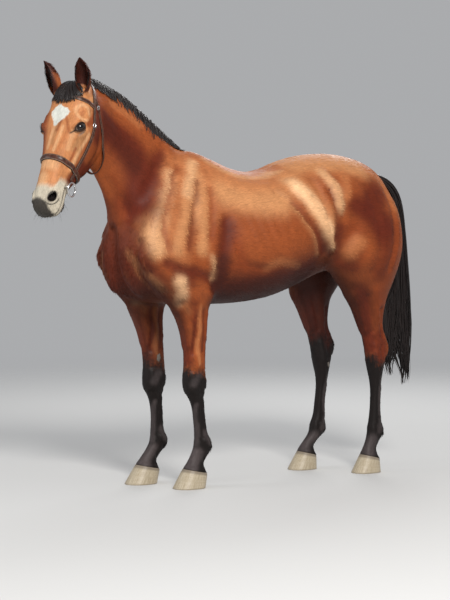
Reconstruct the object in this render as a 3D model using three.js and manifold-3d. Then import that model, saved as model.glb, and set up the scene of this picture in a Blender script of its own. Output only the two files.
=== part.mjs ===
// A bay riding horse standing still, head turned a little to its left,
// wearing a bridle without reins.
// Millimetres, +Z up. The horse faces -X and its left side is -Y. Its four
// soles lie on Z = 0, and the origin is under the middle of its bounding box.
//
// The body is laid out straight and symmetric, every part as a loft through
// oval sections, and then posed: the right legs are set forward of the left
// ones, and the neck and head bend towards -Y.
import * as THREE from 'three';
import { LoftGeometry } from 'three/addons/geometries/LoftGeometry.js';
import { mergeVertices } from 'three/addons/utils/BufferGeometryUtils.js';
import Module from 'manifold-3d';

const wasm = await Module();
wasm.setup();

// ---------------------------------------------------------------- sizes (mm)
const GAP = 0.35;                 // clearance left where two pieces meet
const FORE_SPLIT = 548;           // height where the bay forearm meets the black knee
const HIND_SPLIT = 572;           // the same at the hock
const ELBOW = 864;                // heights where the legs leave the trunk
const STIFLE = 960;
const FORE_REACH = [-620, -60];   // x range the forelegs keep to below the elbow
const HIND_REACH = [425, 1060];   // the same for the hind legs below the stifle
const COAT_LAP = 10;              // how far worn and hairy pieces reach into what they lie on

const HEAD_LENGTH = 664;          // poll to upper lip
const HEAD_PITCH = 23.5;          // degrees the face slopes forward of plumb
const POLL = [-915, 1930];        // x, z of the head's own origin, between the ears
const EYE = { u: 239, v: -4, y: 101, radii: [31, 25, 22], turn: 24 };
const BROW = { u: 219, v: 10, y: 100, radii: [46, 20, 28] };
const EAR = {
  u: 56, v: 6, length: 156, bend: 10, wall: 5, sunk: 0.16,
  left: { y: 72, lean: 8, forward: 15 },
  right: { y: 80, lean: 17, forward: 19 },
};

const HEAD_TURN = 11;             // degrees of turn in the joint behind the poll
const HEAD_JOINT = -720;          // x of the upright axis of that turn
const HEAD_EDGE = [-690, 1700];   // x, z in the plane where the turn sets in
const HEAD_EDGE_WAY = [-0.975, 0.225];  // and the way that plane faces
const NECK_TURN = 11;             // degrees of bend spread along the neck
const NECK_BASE = [-420, 1420];   // x, z where the neck begins to bend
const NECK_SPAN = 410;            // length of neck that bends
const NECK_SLOPE = Math.SQRT1_2;  // the neck rises at 45 degrees
const BIT = { u: 510, y: 76, v: -90, ring: 36, wire: 4.2, splay: -8, barY: 58, bar: 6.5, barLength: 40 };
const STRAP = 5;                  // leather thickness proud of the coat

// ------------------------------------------------------------------ maths
const rad = Math.PI / 180;
const mix = (a, b, t) => a + (b - a) * t;
const clamp01 = (t) => Math.min(1, Math.max(0, t));
const smooth = (a, b, x) => { const t = clamp01((x - a) / (b - a)); return t * t * (3 - 2 * t); };

// Value at x of a smooth curve through [x, y] pairs sorted by x.
function through(pairs, x) {
  if (x <= pairs[0][0]) return pairs[0][1];
  for (let i = 1; i < pairs.length; i++) {
    if (x <= pairs[i][0]) {
      const t = (x - pairs[i - 1][0]) / (pairs[i][0] - pairs[i - 1][0]);
      return mix(pairs[i - 1][1], pairs[i][1], t * t * (3 - 2 * t));
    }
  }
  return pairs.at(-1)[1];
}

// ------------------------------------------------------- sections and lofts
// One section: top or front point (xT, zT), bottom or back point (xB, zB),
// half width w, the plane y = yc it is centred on, the fraction c of the way
// from T to B where it is widest, and the roundness of each half (2 is an
// ellipse, more is boxier, less is more pointed).
const at = (xT, zT, xB, zB, w, yc = 0, c = 0.5, nT = 2, nB = 2) => [xT, zT, xB, zB, w, yc, c, nT, nB];

// Catmull-Rom interpolation of a station table at a fractional index.
function station(table, r) {
  const i = Math.min(table.length - 2, Math.max(0, Math.floor(r)));
  const t = r - i;
  const p = [table[Math.max(0, i - 1)], table[i], table[i + 1], table[Math.min(table.length - 1, i + 2)]];
  return p[1].map((_, k) => 0.5 * (2 * p[1][k] + (p[2][k] - p[0][k]) * t
    + (2 * p[0][k] - 5 * p[1][k] + 4 * p[2][k] - p[3][k]) * t * t
    + (3 * p[1][k] - p[0][k] - 3 * p[2][k] + p[3][k]) * t * t * t));
}

// Half width, as a fraction of w, at fraction s of the way from T to B.
function bulge(s, c, nT, nB) {
  const n = s < c ? nT : nB;
  const q = s < c ? (c - s) / c : (s - c) / (1 - c);
  return Math.pow(Math.max(0, 1 - Math.pow(clamp01(q), n)), 1 / n);
}

// Point of a section at fraction s, on side -1 or +1, moved out by `grow`.
function sectionPoint(st, s, side, grow = 0) {
  const [xT, zT, xB, zB, w, yc, c, nT, nB] = st;
  const length = Math.hypot(xB - xT, zB - zT) || 1;
  const g = grow * (2 * s - 1) / length;
  return new THREE.Vector3(
    mix(xT, xB, s) + g * (xB - xT),
    yc + side * (w + grow) * bulge(s, c, nT, nB),
    mix(zT, zB, s) + g * (zB - zT));
}

function ring(st, around, grow = 0) {
  const points = [];
  for (let k = 0; k < around; k++) {
    const a = 2 * Math.PI * k / around;
    points.push(sectionPoint(st, (1 - Math.cos(a)) / 2, Math.sin(a) < 0 ? -1 : 1, grow));
  }
  return points;
}

// A closed loft through a station table: `per` rows to a gap between stations.
function loft(table, { per = 2, around = 18, grow = 0, from = 0, to = table.length - 1 } = {}) {
  const rows = Math.round((to - from) * per);
  const rings = [];
  for (let i = 0; i <= rows; i++) rings.push(ring(station(table, mix(from, to, i / rows)), around, grow));
  if (grow) {                                    // the ends move out as well
    for (const [end, next] of [[0, 1], [rings.length - 1, rings.length - 2]]) {
      const centre = (r) => r.reduce((s, p) => s.add(p), new THREE.Vector3()).divideScalar(r.length);
      const step = centre(rings[end]).sub(centre(rings[next])).setLength(grow);
      rings[end].forEach((p) => p.add(step));
    }
  }
  return skinned(rings);
}

// A closed body through a list of rings. Each end is closed with a flat fan
// to the middle of its ring; with `zip`, for thin crescents whose points run
// out along one face and back along the other, by drawing the faces together.
function skinned(rings, { zip = false, looped = false } = {}) {
  const end = (r) => {
    if (zip) return r.map((p, k) => p.clone().lerp(r[r.length - 1 - k], 0.5));
    const middle = r.reduce((s, p) => s.add(p), new THREE.Vector3()).divideScalar(r.length);
    return r.map(() => middle.clone());
  };
  if (looped) return solid(new LoftGeometry([...rings, rings[0].map((p) => p.clone())]));
  return solid(new LoftGeometry([end(rings[0]), ...rings, end(rings.at(-1))]));
}

// ------------------------------------------------------------------- solids
// A three.js geometry as a manifold solid with its faces out.
function solid(geometry) {
  const bare = new THREE.BufferGeometry();
  bare.setAttribute('position', geometry.attributes.position);
  bare.setIndex(geometry.index);
  const g = mergeVertices(bare, 1e-3);
  const v = g.attributes.position.array;
  const t = Array.from(g.index.array);
  const tri = [];
  let volume = 0;
  for (let i = 0; i < t.length; i += 3) {
    const [a, b, c] = [t[i], t[i + 1], t[i + 2]];
    if (a === b || b === c || a === c) continue;
    tri.push(a, b, c);
    const [ax, ay, az] = [v[3 * a], v[3 * a + 1], v[3 * a + 2]];
    const [bx, by, bz] = [v[3 * b], v[3 * b + 1], v[3 * b + 2]];
    const [cx, cy, cz] = [v[3 * c], v[3 * c + 1], v[3 * c + 2]];
    volume += ax * (by * cz - bz * cy) + ay * (bz * cx - bx * cz) + az * (bx * cy - by * cx);
  }
  if (volume < 0) for (let i = 0; i < tri.length; i += 3) [tri[i], tri[i + 1]] = [tri[i + 1], tri[i]];
  return new wasm.Manifold(new wasm.Mesh({
    numProp: 3, vertProperties: Float32Array.from(v), triVerts: Uint32Array.from(tri),
  }));
}

// The same solid with each vertex moved by a function of its position.
function moved(body, f) {
  const mesh = body.getMesh();
  const positions = new Float32Array(mesh.numVert * 3);
  for (let i = 0; i < mesh.numVert; i++) {
    const p = new THREE.Vector3(...mesh.vertProperties.slice(i * mesh.numProp, i * mesh.numProp + 3));
    f(p).toArray(positions, i * 3);
  }
  const g = new THREE.BufferGeometry();
  g.setAttribute('position', new THREE.BufferAttribute(positions, 3));
  g.setIndex(Array.from(mesh.triVerts));
  return solid(g);
}

const mirrored = (body) => moved(body, (p) => p.setY(-p.y));

// The biggest of the separate bodies a cut has left.
const largest = (b) => b.decompose().reduce((a, c) => (c.volume() > a.volume() ? c : a));

function ellipsoid(centre, radii, axes, across) {
  const g = new THREE.SphereGeometry(1, across, Math.round(across * 0.6));
  g.scale(...radii);
  g.applyMatrix4(new THREE.Matrix4().makeBasis(...axes));
  g.translate(centre.x, centre.y, centre.z);
  return solid(g);
}

// A block between two x and two z, on one side of the midline or on both.
function block([xLow, xHigh], [zLow, zHigh], side = 0) {
  const g = new THREE.BoxGeometry(xHigh - xLow, side ? 600 : 1200, zHigh - zLow);
  g.translate((xLow + xHigh) / 2, side * 300, (zLow + zHigh) / 2);
  return solid(g);
}

// The half spaces ahead of and behind the posed plane that was square to the
// midline through a top and a bottom point [x, z], with GAP between them.
function cutBetween(top, bottom) {
  const middle = [(top[0] + bottom[0]) / 2, (top[1] + bottom[1]) / 2];
  const [a, b, left, right] = [[top[0], 0, top[1]], [bottom[0], 0, bottom[1]],
    [middle[0], -60, middle[1]], [middle[0], 60, middle[1]]].map((p) => pose(new THREE.Vector3(...p)));
  const up = a.clone().sub(b).normalize();
  const ahead = new THREE.Vector3().crossVectors(up, left.clone().sub(right)).normalize();
  if (ahead.x > 0) ahead.negate();
  const across = new THREE.Vector3().crossVectors(up, ahead);
  return [1, -1].map((way) => {
    const g = new THREE.BoxGeometry(4000, 2000, 6000);
    g.translate(way * (2000 + GAP / 2), 0, 0);
    g.applyMatrix4(new THREE.Matrix4().makeBasis(ahead, across, up));
    g.translate(...a.clone().add(b).multiplyScalar(0.5).toArray());
    return solid(g);
  });
}

// ------------------------------------------------------------- the pose
// How far forward of the left leg each right leg stands, by height.
const RIGHT_FORE = [
  [0, -105], [100, -100], [220, -81], [360, -70], [540, -58], [800, -68], [930, -48], [1050, -16], [1160, 0],
];
const RIGHT_HIND = [
  [0, -190], [100, -184], [200, -152], [300, -138], [500, -124], [700, -128], [860, -124], [960, -98],
  [1060, -58], [1160, -24], [1260, 0],
];

// (x, y) turned by an angle about (cx, 0), which itself moves to (cx, sway).
function turned(x, y, cx, angle, sway = 0) {
  const [c, s] = [Math.cos(angle), Math.sin(angle)];
  return [cx + (x - cx) * c - y * s, sway + (x - cx) * s + y * c];
}

function pose(p) {
  const { x, y, z } = p;
  const right = smooth(-30, 70, y);
  const fore = 1 - smooth(-120, 60, x);
  const hind = smooth(330, 480, x);
  let px = x + right * (fore * through(RIGHT_FORE, z) + hind * through(RIGHT_HIND, z));
  let py = y;
  // the head turns about the joint behind the poll
  const ahead = (x - HEAD_EDGE[0]) * HEAD_EDGE_WAY[0] + (z - HEAD_EDGE[1]) * HEAD_EDGE_WAY[1];
  [px, py] = turned(px, py, HEAD_JOINT, HEAD_TURN * rad * smooth(-70, 50, ahead));
  // and the neck bends along its length
  const t = clamp01((NECK_BASE[0] - x + z - NECK_BASE[1]) * NECK_SLOPE / NECK_SPAN);
  const cx = NECK_BASE[0] - NECK_SLOPE * NECK_SPAN * t;
  const sway = -NECK_SLOPE * NECK_SPAN * NECK_TURN * rad * (t ** 3 - t ** 4 / 2);
  [px, py] = turned(px, py, cx, NECK_TURN * rad * smooth(0, 1, t), sway);
  return new THREE.Vector3(px, py, z);
}

// ------------------------------------------------------- station tables
// The trunk, from the breast to the point of the buttock.
const TRUNK = [
  at(-628, 1262, -634, 1160, 54, 0, 0.5),
  at(-612, 1322, -628, 1080, 122, 0, 0.52),
  at(-570, 1400, -596, 990, 174, 0, 0.55),
  at(-494, 1482, -532, 928, 206, 0, 0.57, 1.9, 2.2),
  at(-400, 1550, -430, 893, 224, 0, 0.6, 1.8, 2.2),
  at(-300, 1605, -310, 876, 234, 0, 0.62, 1.65, 2.2),
  at(-205, 1622, -200, 872, 248, 0, 0.62, 1.6, 2.2),       // withers
  at(-105, 1590, -90, 871, 268, 0, 0.6, 1.7, 2.2),
  at(0, 1547, 15, 873, 287, 0, 0.57, 1.85, 2.15),
  at(105, 1527, 125, 882, 300, 0, 0.55, 2, 2.1),           // back
  at(215, 1541, 235, 903, 304, 0, 0.53, 2, 2.05),
  at(325, 1580, 345, 938, 299, 0, 0.5, 2, 2.05),           // loin
  at(440, 1609, 455, 982, 290, 0, 0.47, 2, 2.1),
  at(560, 1622, 575, 1026, 283, 0, 0.45, 2, 2.2),          // croup
  at(680, 1614, 690, 1056, 274, 0, 0.45, 2, 2.2),
  at(790, 1588, 795, 1082, 246, 0, 0.45, 2, 2.2),
  at(875, 1545, 872, 1125, 192, 0, 0.47, 2, 2.1),
  at(928, 1488, 926, 1210, 122, 0, 0.5),                   // dock
  at(944, 1425, 942, 1290, 56, 0, 0.5),
];

const NECK = [
  at(-235, 1590, -500, 1000, 140, 0, 0.62, 1.7, 2),
  at(-298, 1640, -590, 1120, 148, 0, 0.63, 1.6, 2),
  at(-376, 1710, -636, 1232, 131, 0, 0.63, 1.5, 1.9),
  at(-458, 1778, -664, 1330, 111, 0, 0.62, 1.45, 1.9),
  at(-548, 1842, -700, 1412, 96, 0, 0.6, 1.45, 1.95),
  at(-642, 1890, -744, 1480, 87, 0, 0.57, 1.5, 2),
  at(-735, 1921, -793, 1536, 83, 0, 0.52, 1.6, 2),
  at(-825, 1934, -848, 1590, 79, 0, 0.5, 1.7, 2),
  at(-885, 1920, -895, 1650, 66, 0, 0.45, 1.8, 2),
];

// The head has its own axes: u runs from the poll to the lips, v out of the
// face, both in the plane of symmetry.
const A = [-Math.sin(HEAD_PITCH * rad), -Math.cos(HEAD_PITCH * rad)];
const N = [-Math.cos(HEAD_PITCH * rad), Math.sin(HEAD_PITCH * rad)];
const inHead = (u, v) => [POLL[0] + u * A[0] + v * N[0], POLL[1] + u * A[1] + v * N[1]];
const headPoint = (u, y, v) => { const [x, z] = inHead(u, v); return new THREE.Vector3(x, y, z); };
const headAt = (u, vT, vB, w, c, nT, nB) => at(...inHead(u, vT), ...inHead(u, vB), w, 0, c, nT, nB);
const HEAD = [
  headAt(-12, -20, -110, 40, 0.4, 2, 2),
  headAt(14, 12, -150, 64, 0.38, 2, 2),
  headAt(55, 34, -188, 83, 0.34, 2.1, 2),
  headAt(105, 46, -215, 98, 0.31, 2.3, 1.9),                // temples
  headAt(160, 50, -237, 110, 0.29, 2.5, 1.8),
  headAt(210, 49, -251, 115, 0.29, 2.6, 1.75),              // brows
  headAt(262, 46, -256, 109, 0.33, 2.5, 1.8),               // jowls
  headAt(320, 42, -248, 98, 0.37, 2.3, 1.85),
  headAt(380, 38, -218, 85, 0.4, 2.2, 1.9),
  headAt(438, 34, -174, 73, 0.43, 2.1, 2),
  headAt(492, 33, -136, 67, 0.46, 2.1, 2.1),
  headAt(542, 34, -118, 66, 0.48, 2.1, 2.2),                // chin groove
  headAt(588, 31, -114, 69, 0.48, 2.2, 2.3),                // nostrils
  headAt(626, 17, -104, 64, 0.46, 2.2, 2.3),
  headAt(652, -6, -86, 46, 0.45, 2.1, 2.2),
  headAt(HEAD_LENGTH, -26, -58, 18, 0.5, 2, 2),
];

// A foreleg: front line, back line, half width, distance from the midline.
const FORELEG = [
  at(-540, 1330, -330, 1370, 48, -138),
  at(-590, 1225, -280, 1250, 70, -158),
  at(-606, 1120, -240, 1120, 84, -165, 0.45),               // point of the shoulder
  at(-556, 1012, -192, 1010, 86, -162, 0.45),
  at(-470, 925, -176, 926, 78, -156, 0.45),                 // elbow
  at(-396, 850, -196, 852, 65, -150, 0.45),
  at(-354, 770, -204, 772, 56, -145, 0.45),                 // forearm
  at(-334, 695, -205, 696, 48, -141, 0.45),
  at(-327, 620, -207, 620, 43, -138, 0.45),
  at(-327, 565, -206, 565, 42.5, -136, 0.45),
  at(-327, 512, -202, 516, 44, -135, 0.42, 2.4, 1.8),       // knee
  at(-319, 466, -206, 470, 42, -135, 0.42, 2.4, 1.8),
  at(-293, 425, -212, 427, 31, -135, 0.42, 2.2, 1.8),
  at(-278, 380, -209, 381, 25, -135, 0.42, 2.1, 1.8),       // cannon
  at(-269, 310, -201, 310, 24.5, -135, 0.42, 2.1, 1.8),
  at(-265, 262, -190, 262, 27, -135, 0.42, 2.1, 1.8),
  at(-265, 225, -170, 223, 33, -135, 0.42, 2.1, 1.9),       // fetlock
  at(-270, 194, -167, 190, 33, -135, 0.42, 2.1, 1.9),
  at(-286, 158, -190, 154, 28.5, -135, 0.45, 2.1, 2),       // pastern
  at(-305, 126, -211, 116, 31, -135, 0.45, 2.1, 2),
  at(-323, 98, -205, 76, 45, -135, 0.42, 2, 2.3),
  at(-328, 88, -200, 62, 50, -135, 0.42, 2, 2.4),           // coronet
];

const HINDLEG = [
  at(590, 1490, 850, 1470, 58, -128),
  at(545, 1400, 930, 1380, 98, -148),
  at(510, 1295, 964, 1270, 124, -158),                      // hip and buttock
  at(488, 1190, 970, 1150, 137, -162),
  at(498, 1092, 948, 1050, 131, -162),                      // stifle
  at(552, 1003, 918, 968, 112, -158),
  at(624, 918, 884, 888, 90, -154),                         // gaskin
  at(678, 840, 867, 815, 72, -151),
  at(714, 766, 868, 750, 57, -148, 0.42),
  at(740, 702, 886, 690, 47, -146, 0.42),
  at(757, 645, 907, 640, 45, -145, 0.38, 2.2, 1.7),         // point of the hock
  at(770, 590, 895, 590, 48, -145, 0.38, 2.3, 1.7),         // hock
  at(785, 530, 875, 530, 45, -145, 0.4, 2.3, 1.8),
  at(796, 470, 864, 468, 34, -145, 0.42, 2.1, 1.8),
  at(800, 410, 861, 410, 26.5, -145, 0.42, 2.1, 1.8),       // cannon
  at(797, 330, 858, 330, 25.5, -145, 0.42, 2.1, 1.8),
  at(790, 268, 864, 268, 28, -145, 0.42, 2.1, 1.8),
  at(783, 230, 876, 228, 34, -145, 0.42, 2.1, 1.9),         // fetlock
  at(780, 200, 876, 196, 34, -145, 0.42, 2.1, 1.9),
  at(769, 162, 850, 158, 29, -145, 0.45, 2.1, 2),           // pastern
  at(755, 128, 832, 118, 31, -145, 0.45, 2.1, 2),
  at(742, 98, 842, 77, 43, -145, 0.42, 2, 2.3),
  at(738, 88, 846, 62, 47, -145, 0.42, 2, 2.4),             // coronet
];

// The hoof under a leg's last station, down to its flat sole.
function hoofTable(leg, toe, heel, halfWidth) {
  const top = leg.at(-1);
  const sole = at(toe, 0, heel, 0, halfWidth, top[5], 0.42, 2, 2.6);
  const low = sole.map((v, k) => mix(v, top[k], 0.04));
  return [top, top.map((v, k) => mix(v, sole[k], 0.5)), low, sole];
}
const FORE_HOOF = hoofTable(FORELEG, -379, -216, 65);
const HIND_HOOF = hoofTable(HINDLEG, 690, 848, 61);

const TAIL = [
  at(880, 1540, 890, 1478, 26),                             // dock
  at(962, 1530, 942, 1456, 36),
  at(1034, 1492, 982, 1420, 41),
  at(1086, 1424, 1006, 1368, 45),
  at(1114, 1334, 1020, 1300, 49),
  at(1130, 1212, 1026, 1195, 53),
  at(1144, 1070, 1030, 1062, 57),
  at(1158, 930, 1034, 922, 59),
  at(1170, 790, 1040, 784, 58),
  at(1178, 660, 1050, 654, 52),
  at(1180, 560, 1072, 556, 42),
  at(1174, 480, 1098, 480, 26),
  at(1164, 430, 1126, 434, 10),
];

// ------------------------------------------------------------ the flesh
const trunkOf = (grow) => loft(TRUNK, { per: 1, around: 18, grow });
const neckOf = (grow) => loft(NECK, { per: 1, around: 16, grow });
const forelegOf = (grow) => loft(FORELEG, { per: 1, around: 12, grow });
const hindlegOf = (grow) => loft(HINDLEG, { per: 1, around: 12, grow });

function headOf(grow) {
  const brows = [-1, 1].map((side) =>
    ellipsoid(headPoint(BROW.u, side * BROW.y, BROW.v), BROW.radii.map((r) => r + grow), headAxes(0), 10));
  return loft(HEAD, { per: 1, around: 18, grow }).add(brows[0]).add(brows[1]);
}

// Axes of a piece on the head, turned outwards by `turn` degrees about v.
function headAxes(turn, side = 1) {
  const u = new THREE.Vector3(A[0], 0, A[1]);
  const v = new THREE.Vector3(N[0], 0, N[1]);
  const y = new THREE.Vector3(0, side, 0);
  const out = y.clone().applyAxisAngle(u, side * turn * rad);
  return [u, out, new THREE.Vector3().crossVectors(u, out)];
}

// An eyeball, wider than tall, facing out and a little forward.
function eyeOf(side, grow) {
  const [length, height, depth] = EYE.radii.map((r) => r + grow);
  const centre = headPoint(EYE.u, side * EYE.y, EYE.v);
  return ellipsoid(centre, [length, depth, height], headAxes(EYE.turn, side), 12);
}

// An ear: a leaf rolled into a funnel. Each section is a crescent, its outer
// arc at radius r and its inner arc `wall` inside it.
function earOf(side, grow) {
  const { y, lean, forward } = side < 0 ? EAR.left : EAR.right;
  const up = new THREE.Vector3(-Math.sin(forward * rad), side * Math.sin(lean * rad), 1).normalize();
  const open = new THREE.Vector3(-0.86, side * 0.5, 0);
  open.addScaledVector(up, -open.dot(up)).normalize();
  const across = new THREE.Vector3().crossVectors(up, open);
  const base = headPoint(EAR.u, side * y, EAR.v);
  const radius = [[0, 27], [0.12, 30], [0.35, 37], [0.6, 32], [0.8, 22], [0.93, 11], [1, 3]];
  const wrap = [[0, 165], [0.2, 128], [0.45, 104], [0.8, 88], [1, 80]];
  const rows = 7, steps = 5;
  const rings = [];
  for (let i = 0; i <= rows; i++) {
    const t = mix(-EAR.sunk, 1, i / rows);
    const r = through(radius, t) + grow;
    const half = through(wrap, t) * rad + grow / r;
    const wall = Math.min(EAR.wall + 2 * grow, r * 0.5);
    const centre = base.clone().addScaledVector(up, t * EAR.length).addScaledVector(open, EAR.bend * t * t);
    const put = (k, r, share) => {
      const a = mix(-half, half, k / steps) * share;
      return centre.clone().addScaledVector(open, -r * Math.cos(a)).addScaledVector(across, r * Math.sin(a));
    };
    const points = [];
    for (let k = 0; k <= steps; k++) points.push(put(k, r, 1));
    for (let k = steps; k >= 0; k--) points.push(put(k, r - wall, 0.96));
    rings.push(points);
  }
  return skinned(rings, { zip: true });
}

const posed = (b) => moved(b, pose);
const bothLegs = (grow) => [forelegOf(grow), hindlegOf(grow)].flatMap((leg) => [leg, mirrored(leg)]);
const fleshOf = (grow) => [trunkOf(grow), neckOf(grow), headOf(grow), ...bothLegs(grow)]
  .map(posed).reduce((all, b) => all.add(b));
const fleshGrown = fleshOf(GAP);

// The flesh as one body, then parted with thin cuts: a plane from the withers
// to the breast, one from behind the poll to the throat, level ones at the
// elbow and stifle, and level ones where the black of each leg begins.
const flesh = fleshOf(0);
const [beforeWithers, behindWithers] = cutBetween([-262, 1628], [-655, 1272]);
const [beforePoll, behindPoll] = cutBetween([-806, 1950], [-752, 1490]);
const body = {};
body.head = flesh.intersect(beforePoll).subtract(posed(eyeOf(-1, GAP))).subtract(posed(eyeOf(1, GAP)));
body.neck = flesh.intersect(behindPoll).intersect(beforeWithers);
body.trunk = flesh.intersect(behindWithers)
  .subtract(block(FORE_REACH, [0, ELBOW])).subtract(block(HIND_REACH, [0, STIFLE]));
for (const [name, side] of [['left', -1], ['right', 1]]) {
  const own = (b) => posed(side < 0 ? b : mirrored(b));
  const part = (reach, low, high) => flesh.intersect(block(reach, [low, high], side));
  body[`foreleg_upper_${name}`] = part(FORE_REACH, FORE_SPLIT + GAP, ELBOW - GAP);
  body[`foreleg_lower_${name}`] = part(FORE_REACH, 0, FORE_SPLIT);
  body[`hindleg_upper_${name}`] = part(HIND_REACH, HIND_SPLIT + GAP, STIFLE - GAP);
  body[`hindleg_lower_${name}`] = part(HIND_REACH, 0, HIND_SPLIT);
  body[`forehoof_${name}`] = own(hoofOf(FORE_HOOF));
  body[`hindhoof_${name}`] = own(hoofOf(HIND_HOOF));
  body[`eye_${name}`] = posed(eyeOf(side, 0));
  body[`ear_${name}`] = posed(earOf(side, 0)).subtract(fleshGrown);
}

// A hoof: straight walls from the coronet to the sole, its top GAP lower.
function hoofOf(table) {
  const rings = table.map((st) => ring(st, 12));
  rings[0].forEach((p) => { p.z -= GAP; });
  return skinned(rings);
}

// ------------------------------------------------------------ hair
// Hair that lies on the neck or brow: it stands `lift` proud of the ridge and
// hangs down each side by an angle, in degrees, around the section.
function hairOn(table, from, to, rows, left, right, lift, grow = 0) {
  const walk = 5;
  const rings = [];
  for (let i = 0; i <= rows; i++) {
    const f = i / rows;
    const st = station(table, mix(from, to, f));
    const put = (k, proud) => {
      const a = mix(-left(f), right(f), k / walk) * rad;
      return sectionPoint(st, (1 - Math.cos(a)) / 2, Math.sin(a) < 0 ? -1 : 1, proud);
    };
    const crown = (k) => grow + lift * mix(0.45, 1, Math.sin(Math.PI * k / walk));
    const points = [];
    for (let k = 0; k <= walk; k++) points.push(put(k, crown(k)));
    for (let k = walk; k >= 0; k--) points.push(put(k, -COAT_LAP));
    rings.push(points);
  }
  return skinned(rings, { zip: true });
}

// ------------------------------------------------------------ the bridle
// Where a ray from inside the head or neck leaves the coat for good.
const caster = new THREE.Raycaster();
const shell = (b) => {
  const mesh = b.getMesh();
  const g = new THREE.BufferGeometry();
  g.setAttribute('position', new THREE.BufferAttribute(Float32Array.from(mesh.vertProperties), 3));
  g.setIndex(Array.from(mesh.triVerts));
  return new THREE.Mesh(g, new THREE.MeshBasicMaterial({ side: THREE.DoubleSide }));
};
const HEAD_ONLY = [shell(headOf(GAP))];
const HEAD_AND_NECK = [HEAD_ONLY[0], shell(neckOf(GAP))];
function surface(targets, origin, direction) {
  caster.set(origin, direction.clone().normalize());
  const hits = caster.intersectObjects(targets);
  return hits.length ? hits.at(-1).point : origin.clone();
}

// The look from the head's own [u, v] on its midline towards (du, y, dv), as
// an origin, a direction and the point where it leaves the coat.
function look(u, v, du, y, dv, targets = HEAD_ONLY) {
  const d = new THREE.Vector3(A[0] * du + N[0] * dv, y, A[1] * du + N[1] * dv).normalize();
  const origin = headPoint(u, 0, v);
  return { origin, d, targets, p: surface(targets, origin, d) };
}

// A strap through a list of such points: a band `width` wide whose outer face
// stands `proud` of the coat at both edges, its inner face sunk a little below
// the coat to be trimmed by the flesh. Returned as a function of how far to
// grow it, so that its neighbours can be cut clear of it.
function strap(looks, width, proud = STRAP, looped = false) {
  const n = looks.length;
  const bands = looks.map(({ p, d, origin, targets }, i) => {
    const before = looks[looped ? (i + n - 1) % n : Math.max(0, i - 1)].p;
    const after = looks[looped ? (i + 1) % n : Math.min(n - 1, i + 1)].p;
    const along = after.clone().sub(before).normalize();
    const side = new THREE.Vector3().crossVectors(along, d).setLength(width / 2);
    const edge = (s) => (origin
      ? surface(targets, origin.clone().addScaledVector(side, s), d)
      : p.clone().addScaledVector(side, s));
    return { e: edge(1), f: edge(-1), d, side: side.normalize(), along };
  });
  return (grow) => skinned(bands.map(({ e, f, d, side, along }, i) => {
    const end = looped ? 0 : i === 0 ? -grow : i === n - 1 ? grow : 0;
    const put = (q, s, h) => q.clone()
      .addScaledVector(side, s * grow).addScaledVector(d, h).addScaledVector(along, end);
    const top = proud + grow;
    return [put(e, 1, -COAT_LAP), put(f, -1, -COAT_LAP), put(f, -1, top), put(e, 1, top)];
  }), { looped });
}

// f at `count` places spread evenly from low to high.
const spread = (count, low, high, f) =>
  Array.from({ length: count }, (_, i) => f(mix(low, high, i / (count - 1))));

// The noseband circles the face below the cheekbones and drops to the jaw.
const noseband = strap(spread(18, 0, 340, (a) =>
  look(mix(400, 436, (1 - Math.cos(a * rad)) / 2), -58, 0, Math.sin(a * rad), Math.cos(a * rad))),
27, STRAP + 1, true);

// The browband runs under the ears from cheek to cheek across the forehead.
const browband = strap(spread(9, -105, 105, (a) =>
  look(104, -42, 0, Math.sin(a * rad), Math.cos(a * rad))), 20);

// The crownpiece crosses the poll behind the ears.
const crownpiece = strap(spread(11, -84, 84, (a) => {
  const tip = mix(-0.02, -0.16, Math.cos(a * rad));
  return look(66, -70, -Math.cos(a * rad), Math.sin(a * rad), tip, HEAD_AND_NECK);
}), 22);

// A cheekpiece hangs from the crownpiece, behind the eye, to the bit ring.
function cheekpiece(side) {
  const path = [
    [56, -72], [104, -76], [160, -84], [230, -92], [300, -96], [370, -94], [430, -88], [472, -80],
  ];
  return strap(path.map(([u, v]) => look(u, v, 0, side, 0)), 17);
}

// The throatlatch drops behind the jowl and hangs slack under the throat.
function throatlatchHalf(side) {
  const sides = [[84, -104], [130, -150], [178, -194], [226, -232]].map(([u, v]) =>
    look(u, v, 0, side, 0, HEAD_AND_NECK));
  const d = new THREE.Vector3(A[0] * 0.5 - N[0], side * 1.2, A[1] * 0.5 - N[1]).normalize();
  const under = [[276, 60, -268], [320, 36, -288]].map(([u, y, v]) => ({ p: headPoint(u, side * y, v), d }));
  return [...sides, ...under];
}
const throatlatch = strap([...throatlatchHalf(-1),
  { p: headPoint(336, 0, -294), d: new THREE.Vector3(A[0] - N[0], 0, A[1] - N[1]).normalize() },
  ...throatlatchHalf(1).reverse()], 14, STRAP - 0.5);

// Loose ring and the end of its mouthpiece, beside the corner of the lips.
const bitRing = (side) => (grow) => {
  const middle = BIT.ring - BIT.wire;
  const torus = new THREE.TorusGeometry(middle, BIT.wire + grow, 6, 14);
  const [u, out, v] = headAxes(BIT.splay, side);
  torus.applyMatrix4(new THREE.Matrix4().makeBasis(u, v, out));
  torus.translate(...headPoint(BIT.u, side * BIT.y, BIT.v).toArray());
  const bar = new THREE.CylinderGeometry(BIT.bar + grow, BIT.bar + grow, BIT.barLength + 2 * grow, 8);
  bar.translate(...headPoint(BIT.u, side * BIT.barY, BIT.v + middle).toArray());
  return solid(torus).add(solid(bar));
};

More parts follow.
